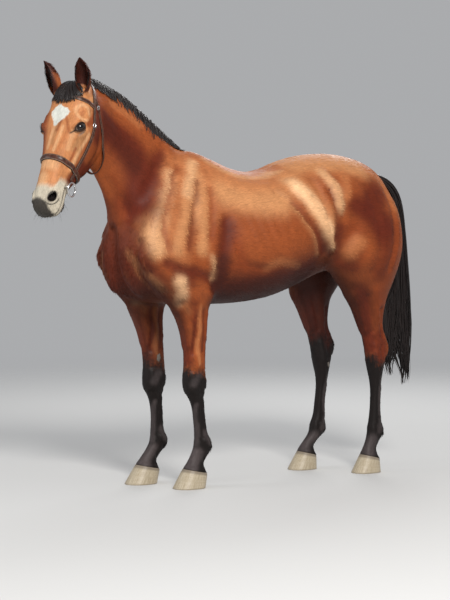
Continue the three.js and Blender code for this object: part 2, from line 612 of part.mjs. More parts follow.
const worn = [
  ['crownpiece', crownpiece], ['cheekpiece_left', cheekpiece(-1)], ['cheekpiece_right', cheekpiece(1)],
  ['noseband', noseband], ['browband', browband], ['throatlatch', throatlatch],
  ['bit_ring_left', bitRing(-1)], ['bit_ring_right', bitRing(1)],
];
let tack = posed(earOf(-1, 2 * GAP)).add(posed(earOf(1, 2 * GAP)));
for (const [name, make] of worn) {
  body[name] = largest(posed(make(0)).subtract(fleshGrown).subtract(tack));
  tack = tack.add(posed(make(GAP)));
}

// The mane falls to the right, with a short fringe on the left of the crest.
const maneOf = (grow) => {
  const fall = (f) => mix(40, 74, Math.sin(Math.PI * mix(0.12, 0.8, f)));
  return posed(hairOn(NECK, 1.1, 7.1, 5, () => 40 + grow, (f) => fall(f) + grow, 26, grow));
};
body.mane = largest(maneOf(0).subtract(fleshGrown).subtract(tack));
const lock = (f) => mix(17, 52, smooth(0.4, 0.9, f));
const forelock = hairOn(HEAD, 0.9, 3.75, 4, lock, lock, 17);
body.forelock = largest(posed(forelock).subtract(fleshGrown).subtract(tack).subtract(maneOf(GAP)));
body.tail = posed(loft(TAIL, { per: 1, around: 10 })).subtract(fleshGrown);

// ------------------------------------------------------------ materials
const paint = (color, roughness, metalness = 0) =>
  new THREE.MeshStandardMaterial({ color, roughness, metalness });
const BAY = paint(0x8a4420, 0.5);
const FACE = paint(0xa55a2e, 0.55);
const BLACK = paint(0x17110f, 0.5);
const EARS = paint(0x4a2013, 0.6);
const HAIR = paint(0x0f0c0c, 0.45);
const HORN = paint(0xb3a88c, 0.45);
const GLASS = paint(0x0a0706, 0.08);
const LEATHER = paint(0x3a1d12, 0.45);
const STEEL = paint(0xc9ccd0, 0.25, 1);

const MATERIALS = [
  [/^head/, FACE], [/^ear/, EARS], [/^eye/, GLASS], [/lower/, BLACK], [/hoof/, HORN],
  [/^(mane|forelock|tail)/, HAIR], [/^bit_ring/, STEEL], [/(band|piece|latch)/, LEATHER], [/./, BAY],
];

// ------------------------------------------------------------ the group
const horse = new THREE.Group();
for (const [name, piece] of Object.entries(body)) {
  const mesh = piece.getMesh();
  const g = new THREE.BufferGeometry();
  g.setAttribute('position', new THREE.BufferAttribute(Float32Array.from(mesh.vertProperties), 3));
  g.setIndex(Array.from(mesh.triVerts));
  g.computeBoundingBox();
  const centre = g.boundingBox.getCenter(new THREE.Vector3()).round();
  g.translate(-centre.x, -centre.y, -centre.z);
  g.computeVertexNormals();
  const part = new THREE.Mesh(g, MATERIALS.find(([pattern]) => pattern.test(name))[1]);
  part.name = name;
  part.position.copy(centre);
  horse.add(part);
}
const box = new THREE.Box3().setFromObject(horse);
horse.position.set(-(box.min.x + box.max.x) / 2, -(box.min.y + box.max.y) / 2, 0);
horse.updateMatrixWorld(true);

export default horse;
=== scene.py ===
# %% [markdown]
# # A bay horse in a bridle
#
# A live horse is one body under one hide, so the looks begin with a single
# skin: the trunk, neck, head and legs are worked out as lofts through oval
# sections, melted together as distance fields, and drawn as one mesh with no
# seam. Everything that grows from the skin or lies on it, such as lids, ears,
# hair, hooves and straps, takes its place from the same sections.
#
# The body is laid out straight and symmetric, facing -X with its left side at
# -Y, and bent into its stance at the very end by one function of position.

# %% The frame
import time
import bmesh
import bpy
import numpy as np
import openvdb
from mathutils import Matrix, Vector
from mathutils.bvhtree import BVHTree
from numpy import cos, hypot, pi, sin, sqrt


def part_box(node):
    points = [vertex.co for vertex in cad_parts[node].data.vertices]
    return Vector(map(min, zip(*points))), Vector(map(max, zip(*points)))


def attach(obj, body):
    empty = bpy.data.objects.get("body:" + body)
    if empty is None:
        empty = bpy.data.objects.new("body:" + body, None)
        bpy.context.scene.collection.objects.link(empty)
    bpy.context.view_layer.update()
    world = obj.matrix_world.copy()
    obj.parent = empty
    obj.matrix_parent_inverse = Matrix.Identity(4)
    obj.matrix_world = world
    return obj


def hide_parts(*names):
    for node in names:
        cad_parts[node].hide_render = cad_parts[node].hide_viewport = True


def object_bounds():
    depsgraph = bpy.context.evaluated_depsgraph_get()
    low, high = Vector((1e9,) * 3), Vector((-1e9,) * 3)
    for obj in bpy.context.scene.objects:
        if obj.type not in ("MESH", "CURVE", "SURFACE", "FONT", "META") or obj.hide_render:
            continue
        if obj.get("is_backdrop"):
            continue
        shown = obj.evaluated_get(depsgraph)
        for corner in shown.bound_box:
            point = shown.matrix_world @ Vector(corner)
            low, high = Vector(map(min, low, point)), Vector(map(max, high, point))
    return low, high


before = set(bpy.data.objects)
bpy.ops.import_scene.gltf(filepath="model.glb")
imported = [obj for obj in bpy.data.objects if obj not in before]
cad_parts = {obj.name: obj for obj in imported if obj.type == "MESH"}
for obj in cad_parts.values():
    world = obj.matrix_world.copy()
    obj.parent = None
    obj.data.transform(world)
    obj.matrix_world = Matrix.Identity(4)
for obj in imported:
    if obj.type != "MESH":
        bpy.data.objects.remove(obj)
cad_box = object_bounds()
started = time.time()


def clock(words):
    print(f"{time.time() - started:6.1f} s  {words}")


# %% [markdown]
# The camera stands level with the shoulder, ahead of the horse and to its
# left, far enough off for a long lens. It is made first, so that every later
# choice can be judged through it.

# %% Camera
scene = bpy.context.scene
scene.view_settings.view_transform = "Standard"

CAMERA_PLACE = (-5.5959, -8.29, 1.35)
CAMERA_AIM = (-0.004, 0.0, 0.891)
LENS_MM = 122.2


def new_object(name, data):
    """An object that shows this data, in the scene."""
    thing = bpy.data.objects.new(name, data)
    scene.collection.objects.link(thing)
    return thing


def aimed(thing, place, aim):
    """A camera or lamp put in its place and turned towards what it is aimed at."""
    thing.location = place
    thing.rotation_euler = (Vector(aim) - Vector(place)).to_track_quat("-Z", "Y").to_euler()
    return thing


camera_data = bpy.data.cameras.new("camera")
camera_data.lens = LENS_MM
camera_data.sensor_width = 36
camera_data.clip_end = 100
camera = aimed(new_object("camera", camera_data), CAMERA_PLACE, CAMERA_AIM)
scene.camera = camera
print("camera", tuple(camera.location), "lens", LENS_MM, "mm")

# %% [markdown]
# ## Sizes
#
# One section of the body is an oval between a top (or front) point and a
# bottom (or back) point in the plane of symmetry. Millimetres read more easily
# than metres in a table, so the tables are turned to metres on the way in.
# A table is a block of text, one row to a line, with a remark after a #.

# %% Small maths
RAD = pi / 180
ACROSS = np.array([0, 1, 0])


def mix(a, b, t):
    return a + (b - a) * t


def ease(t):
    """An S-shaped rise from 0 at t = 0 to 1 at t = 1, level at both."""
    return t * t * (3 - 2 * t)


def smooth(a, b, x):
    """0 below a, 1 above b, and an S-shaped rise between them."""
    return ease(np.clip((x - a) / (b - a), 0, 1))


def hump(x, centre, width):
    """1 at the centre, falling to 0 a width away on either side, with no corner."""
    return ease(np.clip(1 - abs(x - centre) / width, 0, 1))


def through(pairs, x):
    """The value at x of a curve through [x, y] pairs, eased between neighbours."""
    xs, ys = np.array(pairs, float).T
    x = np.clip(x, xs[0], xs[-1])
    i = np.clip(np.searchsorted(xs, x, side="right") - 1, 0, len(xs) - 2)
    return mix(ys[i], ys[i + 1], ease((x - xs[i]) / (xs[i + 1] - xs[i])))


def stacked(*parts):
    """Numbers and arrays, spread to one shape, side by side along a last axis."""
    return np.stack(np.broadcast_arrays(*parts), -1)


def unit(v):
    return v / np.maximum(np.linalg.norm(v, axis=-1, keepdims=True), 1e-12)


def square_to(v, way):
    """The unit vector along v less its share along the unit vector `way`."""
    return unit(v - (v * way).sum(-1, keepdims=True) * way)


def circle(count):
    """Angles at even steps round a circle."""
    return 2 * pi * np.arange(count) / count


def words_of(table):
    return [row.split("#")[0].replace(",", " ").split() for row in table.strip().splitlines()]


def numbers_of(table):
    return [[float(k) for k in row] for row in words_of(table)]

# %% [markdown]
# The sections follow the horse from end to end, closer together where its
# outline turns: withers, croup, dock, elbow, knee, hock and fetlock. An oval of
# two halves is enough for a chest that is wide low down and narrow on top.

# %% Trunk and neck
def at(xT, zT, xB, zB, w, yc=0, c=0.5, nT=2, nB=2):
    """One section, in mm: top x z, bottom x z, half width, distance of its plane
    from the midline, where from T to B it is widest, and how boxy each half is."""
    m = np.array([xT, zT, xB, zB, w, yc]) / 1000
    return np.array([*m, c, nT, nB])


def sections(table):
    return np.array([at(*row) for row in numbers_of(table)])


TRUNK = sections("""
-628 1262 -634 1160 54
-612 1322 -628 1080 122 0 .52
-570 1400 -596 990 174 0 .55
-494 1482 -532 928 206 0 .57 1.9 2.2
-400 1550 -430 893 224 0 .6 1.8 2.2
-300 1605 -310 876 234 0 .62 1.65 2.2
-205 1622 -200 872 248 0 .62 1.6 2.2  # withers
-105 1590 -90 871 268 0 .6 1.7 2.2
0 1547 15 873 287 0 .57 1.85 2.15
105 1527 125 882 300 0 .55 2 2.1  # back
215 1541 235 903 304 0 .53 2 2.05
325 1580 345 938 299 0 .5 2 2.05  # loin
440 1609 455 982 290 0 .47 2 2.1
560 1622 575 1026 283 0 .45 2 2.2  # croup
680 1614 690 1056 274 0 .45 2 2.2
790 1588 795 1082 246 0 .45 2 2.2
875 1545 872 1125 192 0 .47 2 2.1
928 1488 926 1210 122  # dock
944 1425 942 1290 56
""")

NECK = sections("""
-235 1590 -500 1000 140 0 .62 1.7 2
-298 1640 -590 1120 148 0 .63 1.6 2
-376 1710 -636 1232 131 0 .63 1.5 1.9
-458 1778 -664 1330 111 0 .62 1.45 1.9
-548 1842 -700 1412 96 0 .6 1.45 1.95
-642 1890 -744 1480 87 0 .57 1.5 2
-735 1921 -793 1536 83 0 .52 1.6 2
-825 1934 -848 1590 79 0 .5 1.7 2
-885 1920 -895 1650 66 0 .45 1.8 2
""")

# %% The head's axes
# The head has axes of its own: u runs from the poll to the lips, v out of the
# face, both in the plane of symmetry, and y across.
POLL = np.array([-0.915, 0.0, 1.93])
HEAD_PITCH = 23.5 * RAD
HEAD_U = np.array([-sin(HEAD_PITCH), 0, -cos(HEAD_PITCH)])
HEAD_V = np.array([-cos(HEAD_PITCH), 0, sin(HEAD_PITCH)])


def head_point(u, y, v):
    """Head axes in mm to the straight body's place in metres."""
    u, y, v = (np.asarray(k, float)[..., None] / 1000 for k in np.broadcast_arrays(u, y, v))
    return POLL + u * HEAD_U + v * HEAD_V + y * ACROSS


def head_axes(p):
    """The straight body's place in metres to the head's u, y, v in mm."""
    q = (p - POLL) * 1000
    return q @ HEAD_U, q[..., 1], q @ HEAD_V


def head_frame(side, turn, slant):
    """Axes of something on the side of the head that faces out and `turn` degrees
    forward: along it, across it, and out. Its length slopes `slant` degrees
    forward of the line of the face."""
    t, s = turn * RAD, slant * RAD
    sideways = side * ACROSS
    out = cos(t) * sideways + sin(t) * HEAD_V
    forward = cos(t) * HEAD_V - sin(t) * sideways
    return np.array([cos(s) * HEAD_U + sin(s) * forward,
                     -sin(s) * HEAD_U + cos(s) * forward, out])


def head_at(u, vT, vB, w, c, nT, nB):
    """A section of the head: u, v of its top and bottom, then as in `at`."""
    top, low = head_point(u, 0, vT) * 1000, head_point(u, 0, vB) * 1000
    return at(top[0], top[2], low[0], low[2], w, 0, c, nT, nB)

# %% Head
SIDES = {"left": -1, "right": 1}


def on_side(place, side):
    """A place u, y, v on one side of the head, in metres."""
    u, y, v = place
    return head_point(u, side * y, v)


EYE_PLACE = 239, 101, -4  # u, y, v
EYE_TURN, EYE_SLANT = 24, 42  # degrees
EYE_BALL = 0.031  # radius
EYE_SINK = 0.011  # centre of the ball behind the eye's own place
OPEN_LENGTH, OPEN_ABOVE, OPEN_BELOW = 0.029, 0.0185, 0.015
LID = 0.003  # thickness


def eye_place(side):
    """The middle of an eyeball, and its axes: along the lids, up, and out."""
    axes = head_frame(side, EYE_TURN, EYE_SLANT)
    return on_side(EYE_PLACE, side) - EYE_SINK * axes[2], axes


HEAD = np.array([head_at(*row) for row in numbers_of("""
-12 -20 -110 40 .4 2 2
14 12 -150 64 .38 2 2
55 34 -188 83 .34 2.1 2
105 46 -215 98 .31 2.3 1.9  # temples
160 50 -237 110 .29 2.5 1.8
210 49 -251 115 .29 2.6 1.75  # brows
262 46 -256 109 .33 2.5 1.8  # jowls
320 42 -248 98 .37 2.3 1.85
380 38 -218 85 .4 2.2 1.9
438 34 -174 73 .43 2.1 2
492 33 -136 67 .46 2.1 2.1
542 34 -118 66 .48 2.1 2.2  # chin groove
588 31 -114 69 .48 2.2 2.3  # nostrils
626 17 -104 64 .46 2.2 2.3
652 -6 -86 46 .45 2.1 2.2
664 -26 -58 18 .5 2 2
""")])

# %% Legs
FORELEG = sections("""
-540 1330 -330 1370 48 -138
-590 1225 -280 1250 70 -158
-606 1120 -240 1120 84 -165 .45  # point of the shoulder
-556 1012 -192 1010 86 -162 .45
-470 925 -176 926 78 -156 .45  # elbow
-396 850 -196 852 65 -150 .45
-354 770 -204 772 56 -145 .45  # forearm
-334 695 -205 696 48 -141 .45
-327 620 -207 620 43 -138 .45
-327 565 -206 565 42.5 -136 .45
-327 512 -202 516 44 -135 .42 2.4 1.8  # knee
-319 466 -206 470 42 -135 .42 2.4 1.8
-293 425 -212 427 31 -135 .42 2.2 1.8
-278 380 -209 381 25 -135 .42 2.1 1.8  # cannon
-269 310 -201 310 24.5 -135 .42 2.1 1.8
-265 262 -190 262 27 -135 .42 2.1 1.8
-265 225 -170 223 33 -135 .42 2.1 1.9  # fetlock
-270 194 -167 190 33 -135 .42 2.1 1.9
-286 158 -190 154 28.5 -135 .45 2.1 2  # pastern
-305 126 -211 116 31 -135 .45 2.1 2
-323 98 -205 76 45 -135 .42 2 2.3
-328 88 -200 62 50 -135 .42 2 2.4  # coronet
""")

HINDLEG = sections("""
590 1490 850 1470 58 -128
545 1400 930 1380 98 -148
510 1295 964 1270 124 -158  # hip and buttock
488 1190 970 1150 137 -162
498 1092 948 1050 131 -162  # stifle
552 1003 918 968 112 -158
624 918 884 888 90 -154  # gaskin
678 840 867 815 72 -151
714 766 868 750 57 -148 .42
740 702 886 690 47 -146 .42
757 645 907 640 45 -145 .38 2.2 1.7  # point of the hock
770 590 895 590 48 -145 .38 2.3 1.7  # hock
785 530 875 530 45 -145 .4 2.3 1.8
796 470 864 468 34 -145 .42 2.1 1.8
800 410 861 410 26.5 -145 .42 2.1 1.8  # cannon
797 330 858 330 25.5 -145 .42 2.1 1.8
790 268 864 268 28 -145 .42 2.1 1.8
783 230 876 228 34 -145 .42 2.1 1.9  # fetlock
780 200 876 196 34 -145 .42 2.1 1.9
769 162 850 158 29 -145 .45 2.1 2  # pastern
755 128 832 118 31 -145 .45 2.1 2
742 98 842 77 43 -145 .42 2 2.3
738 88 846 62 47 -145 .42 2 2.4  # coronet
""")
print("sections", [len(table) for table in (TRUNK, NECK, HEAD, FORELEG, HINDLEG)])


# %% [markdown]
# A loft carries the ovals of a table along a smooth curve through its rows. A
# chain of primitives would show where they meet; one curve through all of the
# rows doesn't. Every tube here, strap, hoof or hair, is closed in the same way:
# quads between its rings, and a fan of triangles over each end.

# %% Lofts
def station(table, r):
    """Sections at fractional rows r, as a Catmull-Rom curve through the table."""
    r = np.atleast_1d(r)
    last = len(table) - 1
    i = np.clip(np.floor(r).astype(int), 0, last - 1)
    t = (r - i)[:, None]
    p0, p1, p2, p3 = (table[np.clip(i + k, 0, last)] for k in (-1, 0, 1, 2))
    return 0.5 * (2 * p1 + (p2 - p0) * t + (2 * p0 - 5 * p1 + 4 * p2 - p3) * t * t
                  + (3 * p1 - p0 - 3 * p2 + p3) * t * t * t)


def section_points(st, a, grow=0):
    """Points at angle a round each section, 0 at the top: the way from T to B is
    s = (1 - cos a) / 2, and the half width there w (1 - q^n)^(1/n), where q is
    how far s is from the widest place. All moved out by grow."""
    xT, zT, xB, zB, w, yc, c, nT, nB = (st[..., k] for k in range(9))
    s = (1 - cos(a)) / 2
    n = np.where(s < c, nT, nB)
    q = np.clip(np.where(s < c, (c - s) / c, (s - c) / (1 - c)), 0, 1)
    side = np.where(sin(a) < 0, -1, 1)
    y = yc + side * (w + grow) * np.power(np.maximum(0, 1 - q ** n), 1 / n)
    g = grow * (2 * s - 1) / np.maximum(hypot(xB - xT, zB - zT), 1e-6)
    return stacked(mix(xT, xB, s) + g * (xB - xT), y, mix(zT, zB, s) + g * (zB - zT))


def ring_quads(rows, around, looped=False):
    """The quads between the rings of a tube, whose points are numbered ring by
    ring. In a looped tube the last ring meets the first."""
    k = np.arange(rows * around).reshape(rows, around)
    a, b = (k, np.roll(k, -1, 0)) if looped else (k[:-1], k[1:])
    return stacked(a, np.roll(a, -1, 1), np.roll(b, -1, 1), b).reshape(-1, 4)


def end_fans(rows, around):
    """The triangles from the first and last ring to the two points after them all."""
    k = np.arange(rows * around).reshape(rows, around)
    return np.concatenate([stacked(np.full(around, k.size), np.roll(k[0], -1), k[0]),
                           stacked(np.full(around, k.size + 1), k[-1], np.roll(k[-1], -1))])


def tube_triangles(rows, around):
    quads = ring_quads(rows, around)
    return np.concatenate([quads[:, [0, 1, 2]], quads[:, [0, 2, 3]], end_fans(rows, around)])


def inside_out(points, tris):
    """True if the volume that triangles close, a sixth of the sum of
    p0 . (p1 x p2), is negative."""
    p = points[tris] - points[0]
    return np.einsum("ij,ij->", p[:, 0], np.cross(p[:, 1], p[:, 2])) < 0


def with_ends(grid):
    """The points of a tube's rings, then the middles of its first and last ring."""
    return np.concatenate([grid.reshape(-1, 3), grid[[0, -1]].mean(axis=1)])


def closed_tube(grid):
    """Points and faces of a tube of rings, with a fan at each end."""
    rows, around = grid.shape[:2]
    points = with_ends(grid)
    step = -1 if inside_out(points, tube_triangles(rows, around)) else 1
    return points, ring_quads(rows, around)[:, ::step].tolist() + end_fans(rows, around)[:, ::step].tolist()


def loft(table, rows_per_gap=4, around=48):
    """A closed triangle mesh through a table of sections."""
    rows = (len(table) - 1) * rows_per_gap + 1
    st = station(table, np.linspace(0, len(table) - 1, rows))
    points = with_ends(section_points(st[:, None, :], circle(around)[None, :]))
    tris = tube_triangles(rows, around)
    return points, tris[:, ::-1] if inside_out(points, tris) else tris


# %% [markdown]
# ## The skin
#
# Where a leg meets the trunk, two lofts cross in a hard crease that no animal
# has. As distance fields they can be joined with a rounded union instead: the
# smaller of two distances, lowered a little where the two are nearly equal.
# The fields are sampled on one half of the body and mirrored.

# %% Distance fields
VOXEL = 0.0073  # metres
HALF_CELLS = 46  # voxels from the outermost rib to the midline
BAND = 11  # voxels of field on each side of a surface
LOW = np.array([-1.235, -HALF_CELLS * VOXEL, 0.03])
DIMS = (309, HALF_CELLS + 1, 269)


def field(points, tris):
    """Signed distance to a closed mesh on the left half of the grid."""
    grid = openvdb.FloatGrid.createLevelSetFromPolygons(
        ((points - LOW) / VOXEL).astype(np.float32), triangles=tris.astype(np.uint32),
        transform=openvdb.createLinearTransform(voxelSize=1.0), halfWidth=float(BAND))
    dense = np.empty(DIMS, np.float32)
    grid.copyToArray(dense, ijk=(0, 0, 0))
    return dense * VOXEL


def ellipsoid_field(centre, axes, radii):
    """Distance to an ellipsoid, near enough: (|q| - 1) |q| / |q / radii|, with q
    the place in units of its radii."""
    q = (grid_points - centre) @ np.array(axes).T / radii
    length = np.maximum(np.linalg.norm(q, axis=-1), 1e-6)
    return ((length - 1) * length / np.linalg.norm(q / radii, axis=-1)).astype(np.float32)


def melt(a, b, k):
    """The rounded union of two fields: min(a, b) - h^3 k / 6, with h how much
    nearer than k the two distances are to each other."""
    h = np.maximum(k - abs(a - b), 0) / k
    return np.minimum(a, b) - h ** 3 * k / 6


trunk = field(*loft(TRUNK))
legs = np.minimum(field(*loft(FORELEG, 4, 32)), field(*loft(HINDLEG, 4, 32)))
head_field = field(*loft(HEAD))
ways = (LOW[k] + VOXEL * np.arange(DIMS[k]) for k in range(3))
grid_points = np.stack(np.meshgrid(*ways, indexing="ij"), -1)
eye_middle, eye_axes = eye_place(-1)
for place, radii in (([0.008, 0.027, -0.004], [0.036, 0.018, 0.016]),  # brow
                     ([0.002, -0.029, -0.001], [0.042, 0.016, 0.012])):  # lower rim
    rim = ellipsoid_field(eye_middle + np.array(place) @ eye_axes, eye_axes, np.array(radii))
    head_field = melt(head_field, rim, 0.026)
ear_root = ellipsoid_field(head_point(62, -66, -8), np.eye(3), np.array([0.028, 0.026, 0.028]))
head_field = melt(head_field, ear_root, 0.03)
del grid_points
body = melt(melt(trunk, legs, 0.06), melt(field(*loft(NECK)), head_field, 0.035), 0.065)
body = np.concatenate([body, body[:, -2::-1]], axis=1)
clock("the body as a distance field")


def sample(values, p):
    """A field's value at any points, from the eight grid points round each."""
    q = np.clip((p - LOW) / VOXEL, 0, np.array(values.shape) - 1.001)
    i = q.astype(int)
    f = q - i
    total = 0
    for dx in (0, 1):
        for dy in (0, 1):
            for dz in (0, 1):
                share = abs(1 - dx - f[..., 0]) * abs(1 - dy - f[..., 1]) * abs(1 - dz - f[..., 2])
                total = total + share * values[i[..., 0] + dx, i[..., 1] + dy, i[..., 2] + dz]
    return total


def slope(values, p, step=VOXEL):
    """The field's unit gradient, which is the way out of the body."""
    e = np.eye(3) * step
    return unit(stacked(*(sample(values, p + e[k]) - sample(values, p - e[k]) for k in range(3))))


DEEP_COAT, FINE_COAT = 0.0045, 0.0022  # depth of the coat on the body, and on face and feet


def depth_at(p):
    """How deep the skin lies in the coat."""
    on_head = smooth(0, 120, head_axes(p)[0]) * smooth(-0.7, -0.8, p[..., 0])
    return mix(DEEP_COAT, FINE_COAT, np.maximum(on_head, smooth(0.75, 0.5, p[..., 2])))


def proud(p):
    """How far outside of the skin a place lies."""
    return sample(body, p) + depth_at(p)


def to_skin(p, rounds=4):
    """Points moved along the gradient until they lie at the skin's depth."""
    for _ in range(rounds):
        p = p - proud(p)[..., None] * slope(body, p)
    return p


# %% [markdown]
# The mesh starts as even quads, 15 mm across. The legs and neck end of the head
# are split once and the face twice, and every point is drawn onto the surface
# of the field again after each split, so detail goes where people look.

# %% Skin mesh
coarse = openvdb.FloatGrid()
coarse.copyFromArray(np.ascontiguousarray(body[::2, ::2, ::2]))
grid_p, grid_quads = coarse.convertToQuads(isovalue=-0.004)
skin = bmesh.new()
for p in LOW + grid_p * 2 * VOXEL:
    skin.verts.new(p)
skin.verts.ensure_lookup_table()
for quad in grid_quads.tolist():
    skin.faces.new([skin.verts[k] for k in quad])


def skin_points():
    return np.array([v.co for v in skin.verts])


def set_skin_points(points):
    for vert, p in zip(skin.verts, points.tolist()):
        vert.co = p


def evened(points, edges, rounds):
    """Points, or colours, moved half of the way to the mean of their neighbours."""
    a, b = np.concatenate([edges, edges[:, ::-1]]).T
    count = np.bincount(a, minlength=len(points))[:, None]
    for _ in range(rounds):
        mean = stacked(*(np.bincount(a, points[b, k], len(points)) for k in range(3))) / count
        points = points + 0.5 * (mean - points)
    return points


def relax(points, rounds):
    skin.verts.index_update()
    return evened(points, np.array([[v.index for v in e.verts] for e in skin.edges]), rounds)


def split(inside):
    """Splits the faces whose middles are inside."""
    middles = np.array([f.calc_center_median() for f in skin.faces])
    chosen = inside(middles)
    edges = {e for f, pick in zip(skin.faces, chosen) if pick for e in f.edges}
    bmesh.ops.subdivide_edges(skin, edges=list(edges), cuts=1, use_grid_fill=True)


FORE_HIND = 0.2  # the x that parts forelegs from hind legs


def on_legs_or_head(p):
    x, _, z = p.T
    u, _, v = head_axes(p)
    return (z < np.where(x < FORE_HIND, 0.78, 0.84)) | (((u > -40) & (v > -235) | (u > 150)) & (x < -0.75))


def on_face(p):
    u, _, v = head_axes(p)
    return (u > 10) & (v > -170 - 0.1 * u) & (p[:, 0] < -0.85)


set_skin_points(to_skin(relax(skin_points(), 1)))
split(on_legs_or_head)
set_skin_points(to_skin(skin_points()))
split(on_face)
set_skin_points(to_skin(relax(to_skin(skin_points()), 2)))
print("skin faces", len(skin.faces), "triangles", sum(len(f.verts) - 2 for f in skin.faces))
clock("skin mesh")

# %% [markdown]
# ## Grafts
#
# An eyelid or a nostril is too crisp for an even grid of faces. There the skin
# is cut away in a round patch, and rings of points run from the cut edge to the
# rim of the opening, over it, and down inside, as a surgeon would graft a piece.

# %% Grafting
def skin_height(centre, axes, a, b, start):
    """How far out along the third axis the skin lies over the places a, b."""
    c = start + np.zeros_like(a)
    for _ in range(7):
        p = centre + stacked(a, b, c) @ axes
        toward = np.maximum(slope(body, p) @ axes[2], 0.4)
        c = c - 0.9 * proud(p) / toward
    return c


def graft(centre, axes, reach, rings):
    """Cuts the faces within an ellipse of half axes `reach`, seen along the third
    axis, and sews rings in. rings(a, b, turn) gives each ring's a, b, c for the
    cut edge's own a, b and its angle round the ellipse."""
    middles = np.array([f.calc_center_median() for f in skin.faces]) - centre
    q = middles @ axes.T
    cut = (hypot(q[:, 0] / reach[0], q[:, 1] / reach[1]) < 1) & (abs(q[:, 2]) < 0.05)
    bmesh.ops.delete(skin, geom=[f for f, gone in zip(skin.faces, cut) if gone], context="FACES")
    rim = [e for e in skin.edges if len(e.link_faces) == 1]
    nexts = {}
    for e in rim:
        for one, other in (e.verts, reversed(e.verts)):
            nexts.setdefault(one, []).append(other)
    loop = [rim[0].verts[0], rim[0].verts[1]]
    while len(loop) < len(rim):
        here = nexts[loop[-1]]
        loop.append(here[0] if here[1] is loop[-2] else here[1])
    local = (np.array([v.co for v in loop]) - centre) @ axes.T
    turn = np.unwrap(np.arctan2(local[:, 1] / reach[1], local[:, 0] / reach[0]))
    if turn[-1] < turn[0]:
        loop, local, turn = loop[::-1], local[::-1], turn[::-1]
    steady = circle(len(turn))
    wander = turn - steady
    for _ in range(6):
        wander = (np.roll(wander, 1) + 2 * wander + np.roll(wander, -1)) / 4
    turn = steady + wander
    a, b = reach[0] * cos(turn), reach[1] * sin(turn)
    place = centre + stacked(a, b, skin_height(centre, axes, a, b, 0.01)) @ axes
    for vert, p in zip(loop, place.tolist()):
        vert.co = p
    before = loop
    for ring in rings(a, b, turn):
        place = centre + stacked(*ring) @ axes
        after = [skin.verts.new(p) for p in place.tolist()]
        for k in range(len(loop)):
            j = (k + 1) % len(loop)
            skin.faces.new([before[k], before[j], after[j], after[k]])
        before = after
    middle = skin.verts.new(np.mean([v.co for v in before], axis=0).tolist())
    for k in range(len(loop)):
        skin.faces.new([before[k], before[(k + 1) % len(loop)], middle])
    skin.verts.index_update()
    points = skin_points()
    q = (points - centre) @ axes.T
    off = hypot(q[:, 0] / reach[0], q[:, 1] / reach[1])
    seam = (smooth(0.86, 0.96, off) * smooth(1.25, 1.1, off) * (abs(q[:, 2]) < 0.06))[:, None]
    set_skin_points(mix(points, relax(points, 6), seam))


# %% [markdown]
# The eye of a horse is set on the side of the head and looks forward a little.
# Its lids are a thin roll of skin over the ball, with a fold above the upper
# lid. The height of the graft is the greater of the skull's own height and that
# of a sphere just over the eyeball, rounded where the two meet.

# %% Eyelids
def eye_opening(turn, grow=0.0):
    """The rim of the opening: an almond, rounder above than below."""
    b = np.where(sin(turn) > 0, OPEN_ABOVE, OPEN_BELOW) + grow
    return (OPEN_LENGTH + grow) * cos(turn), b * np.sign(sin(turn)) * abs(sin(turn)) ** 1.2


def lid_rings(centre, axes):
    def height(a, b, turn):
        skull = skin_height(centre, axes, a, b, 0.02)
        rise = sqrt(np.maximum((EYE_BALL + LID) ** 2 - a * a - b * b, 0.0))
        h = np.maximum(0.01 - abs(skull - rise), 0) / 0.01
        oa, ob = eye_opening(turn)
        away = hypot(a, b) - hypot(oa, ob)
        top = mix(np.maximum(skull, rise) + h ** 3 * 0.01 / 6, skull, smooth(0.008, 0.02, away))
        upper = smooth(-0.2, 0.4, sin(turn))
        fold = -0.0022 * upper * hump(away, 0.0095, 0.004) + 0.0016 * upper * hump(away, 0.015, 0.007)
        fold = fold - 0.0008 * (1 - upper) * hump(away, 0.008, 0.004)
        return top + fold

    def rings(a0, b0, turn):
        oa, ob = eye_opening(turn)
        for t in np.linspace(0.06, 1, 17):
            a, b = mix(a0, oa, t), mix(b0, ob, t)
            yield a, b, height(a, b, turn)
        for grow, lift in ((-0.001, -0.0008), (-0.0016, -0.0022), (-0.0008, -0.004),
                           (0.002, -0.0075), (0.002, -0.012)):
            a, b = eye_opening(turn, grow)
            yield a, b, sqrt((EYE_BALL + LID) ** 2 - a * a - b * b) + lift
        yield 0.5 * oa, 0.5 * ob, np.full_like(oa, 0.004)
    return rings


for side in SIDES.values():
    centre, axes = eye_place(side)
    graft(centre, axes, (0.045, 0.039), lid_rings(centre, axes))

# %% [markdown]
# The nostril is a comma on the corner of the muzzle, its upper rim a raised
# wing of gristle. Inside, it runs up and back into the dark.

# %% Nostrils
NOSTRIL_PLACE = 583, 50, -3  # u, y, v
NOSTRIL_TURN, NOSTRIL_SLANT = 46, 24  # degrees


def nostril_place(side):
    return on_side(NOSTRIL_PLACE, side), head_frame(side, NOSTRIL_TURN, NOSTRIL_SLANT)


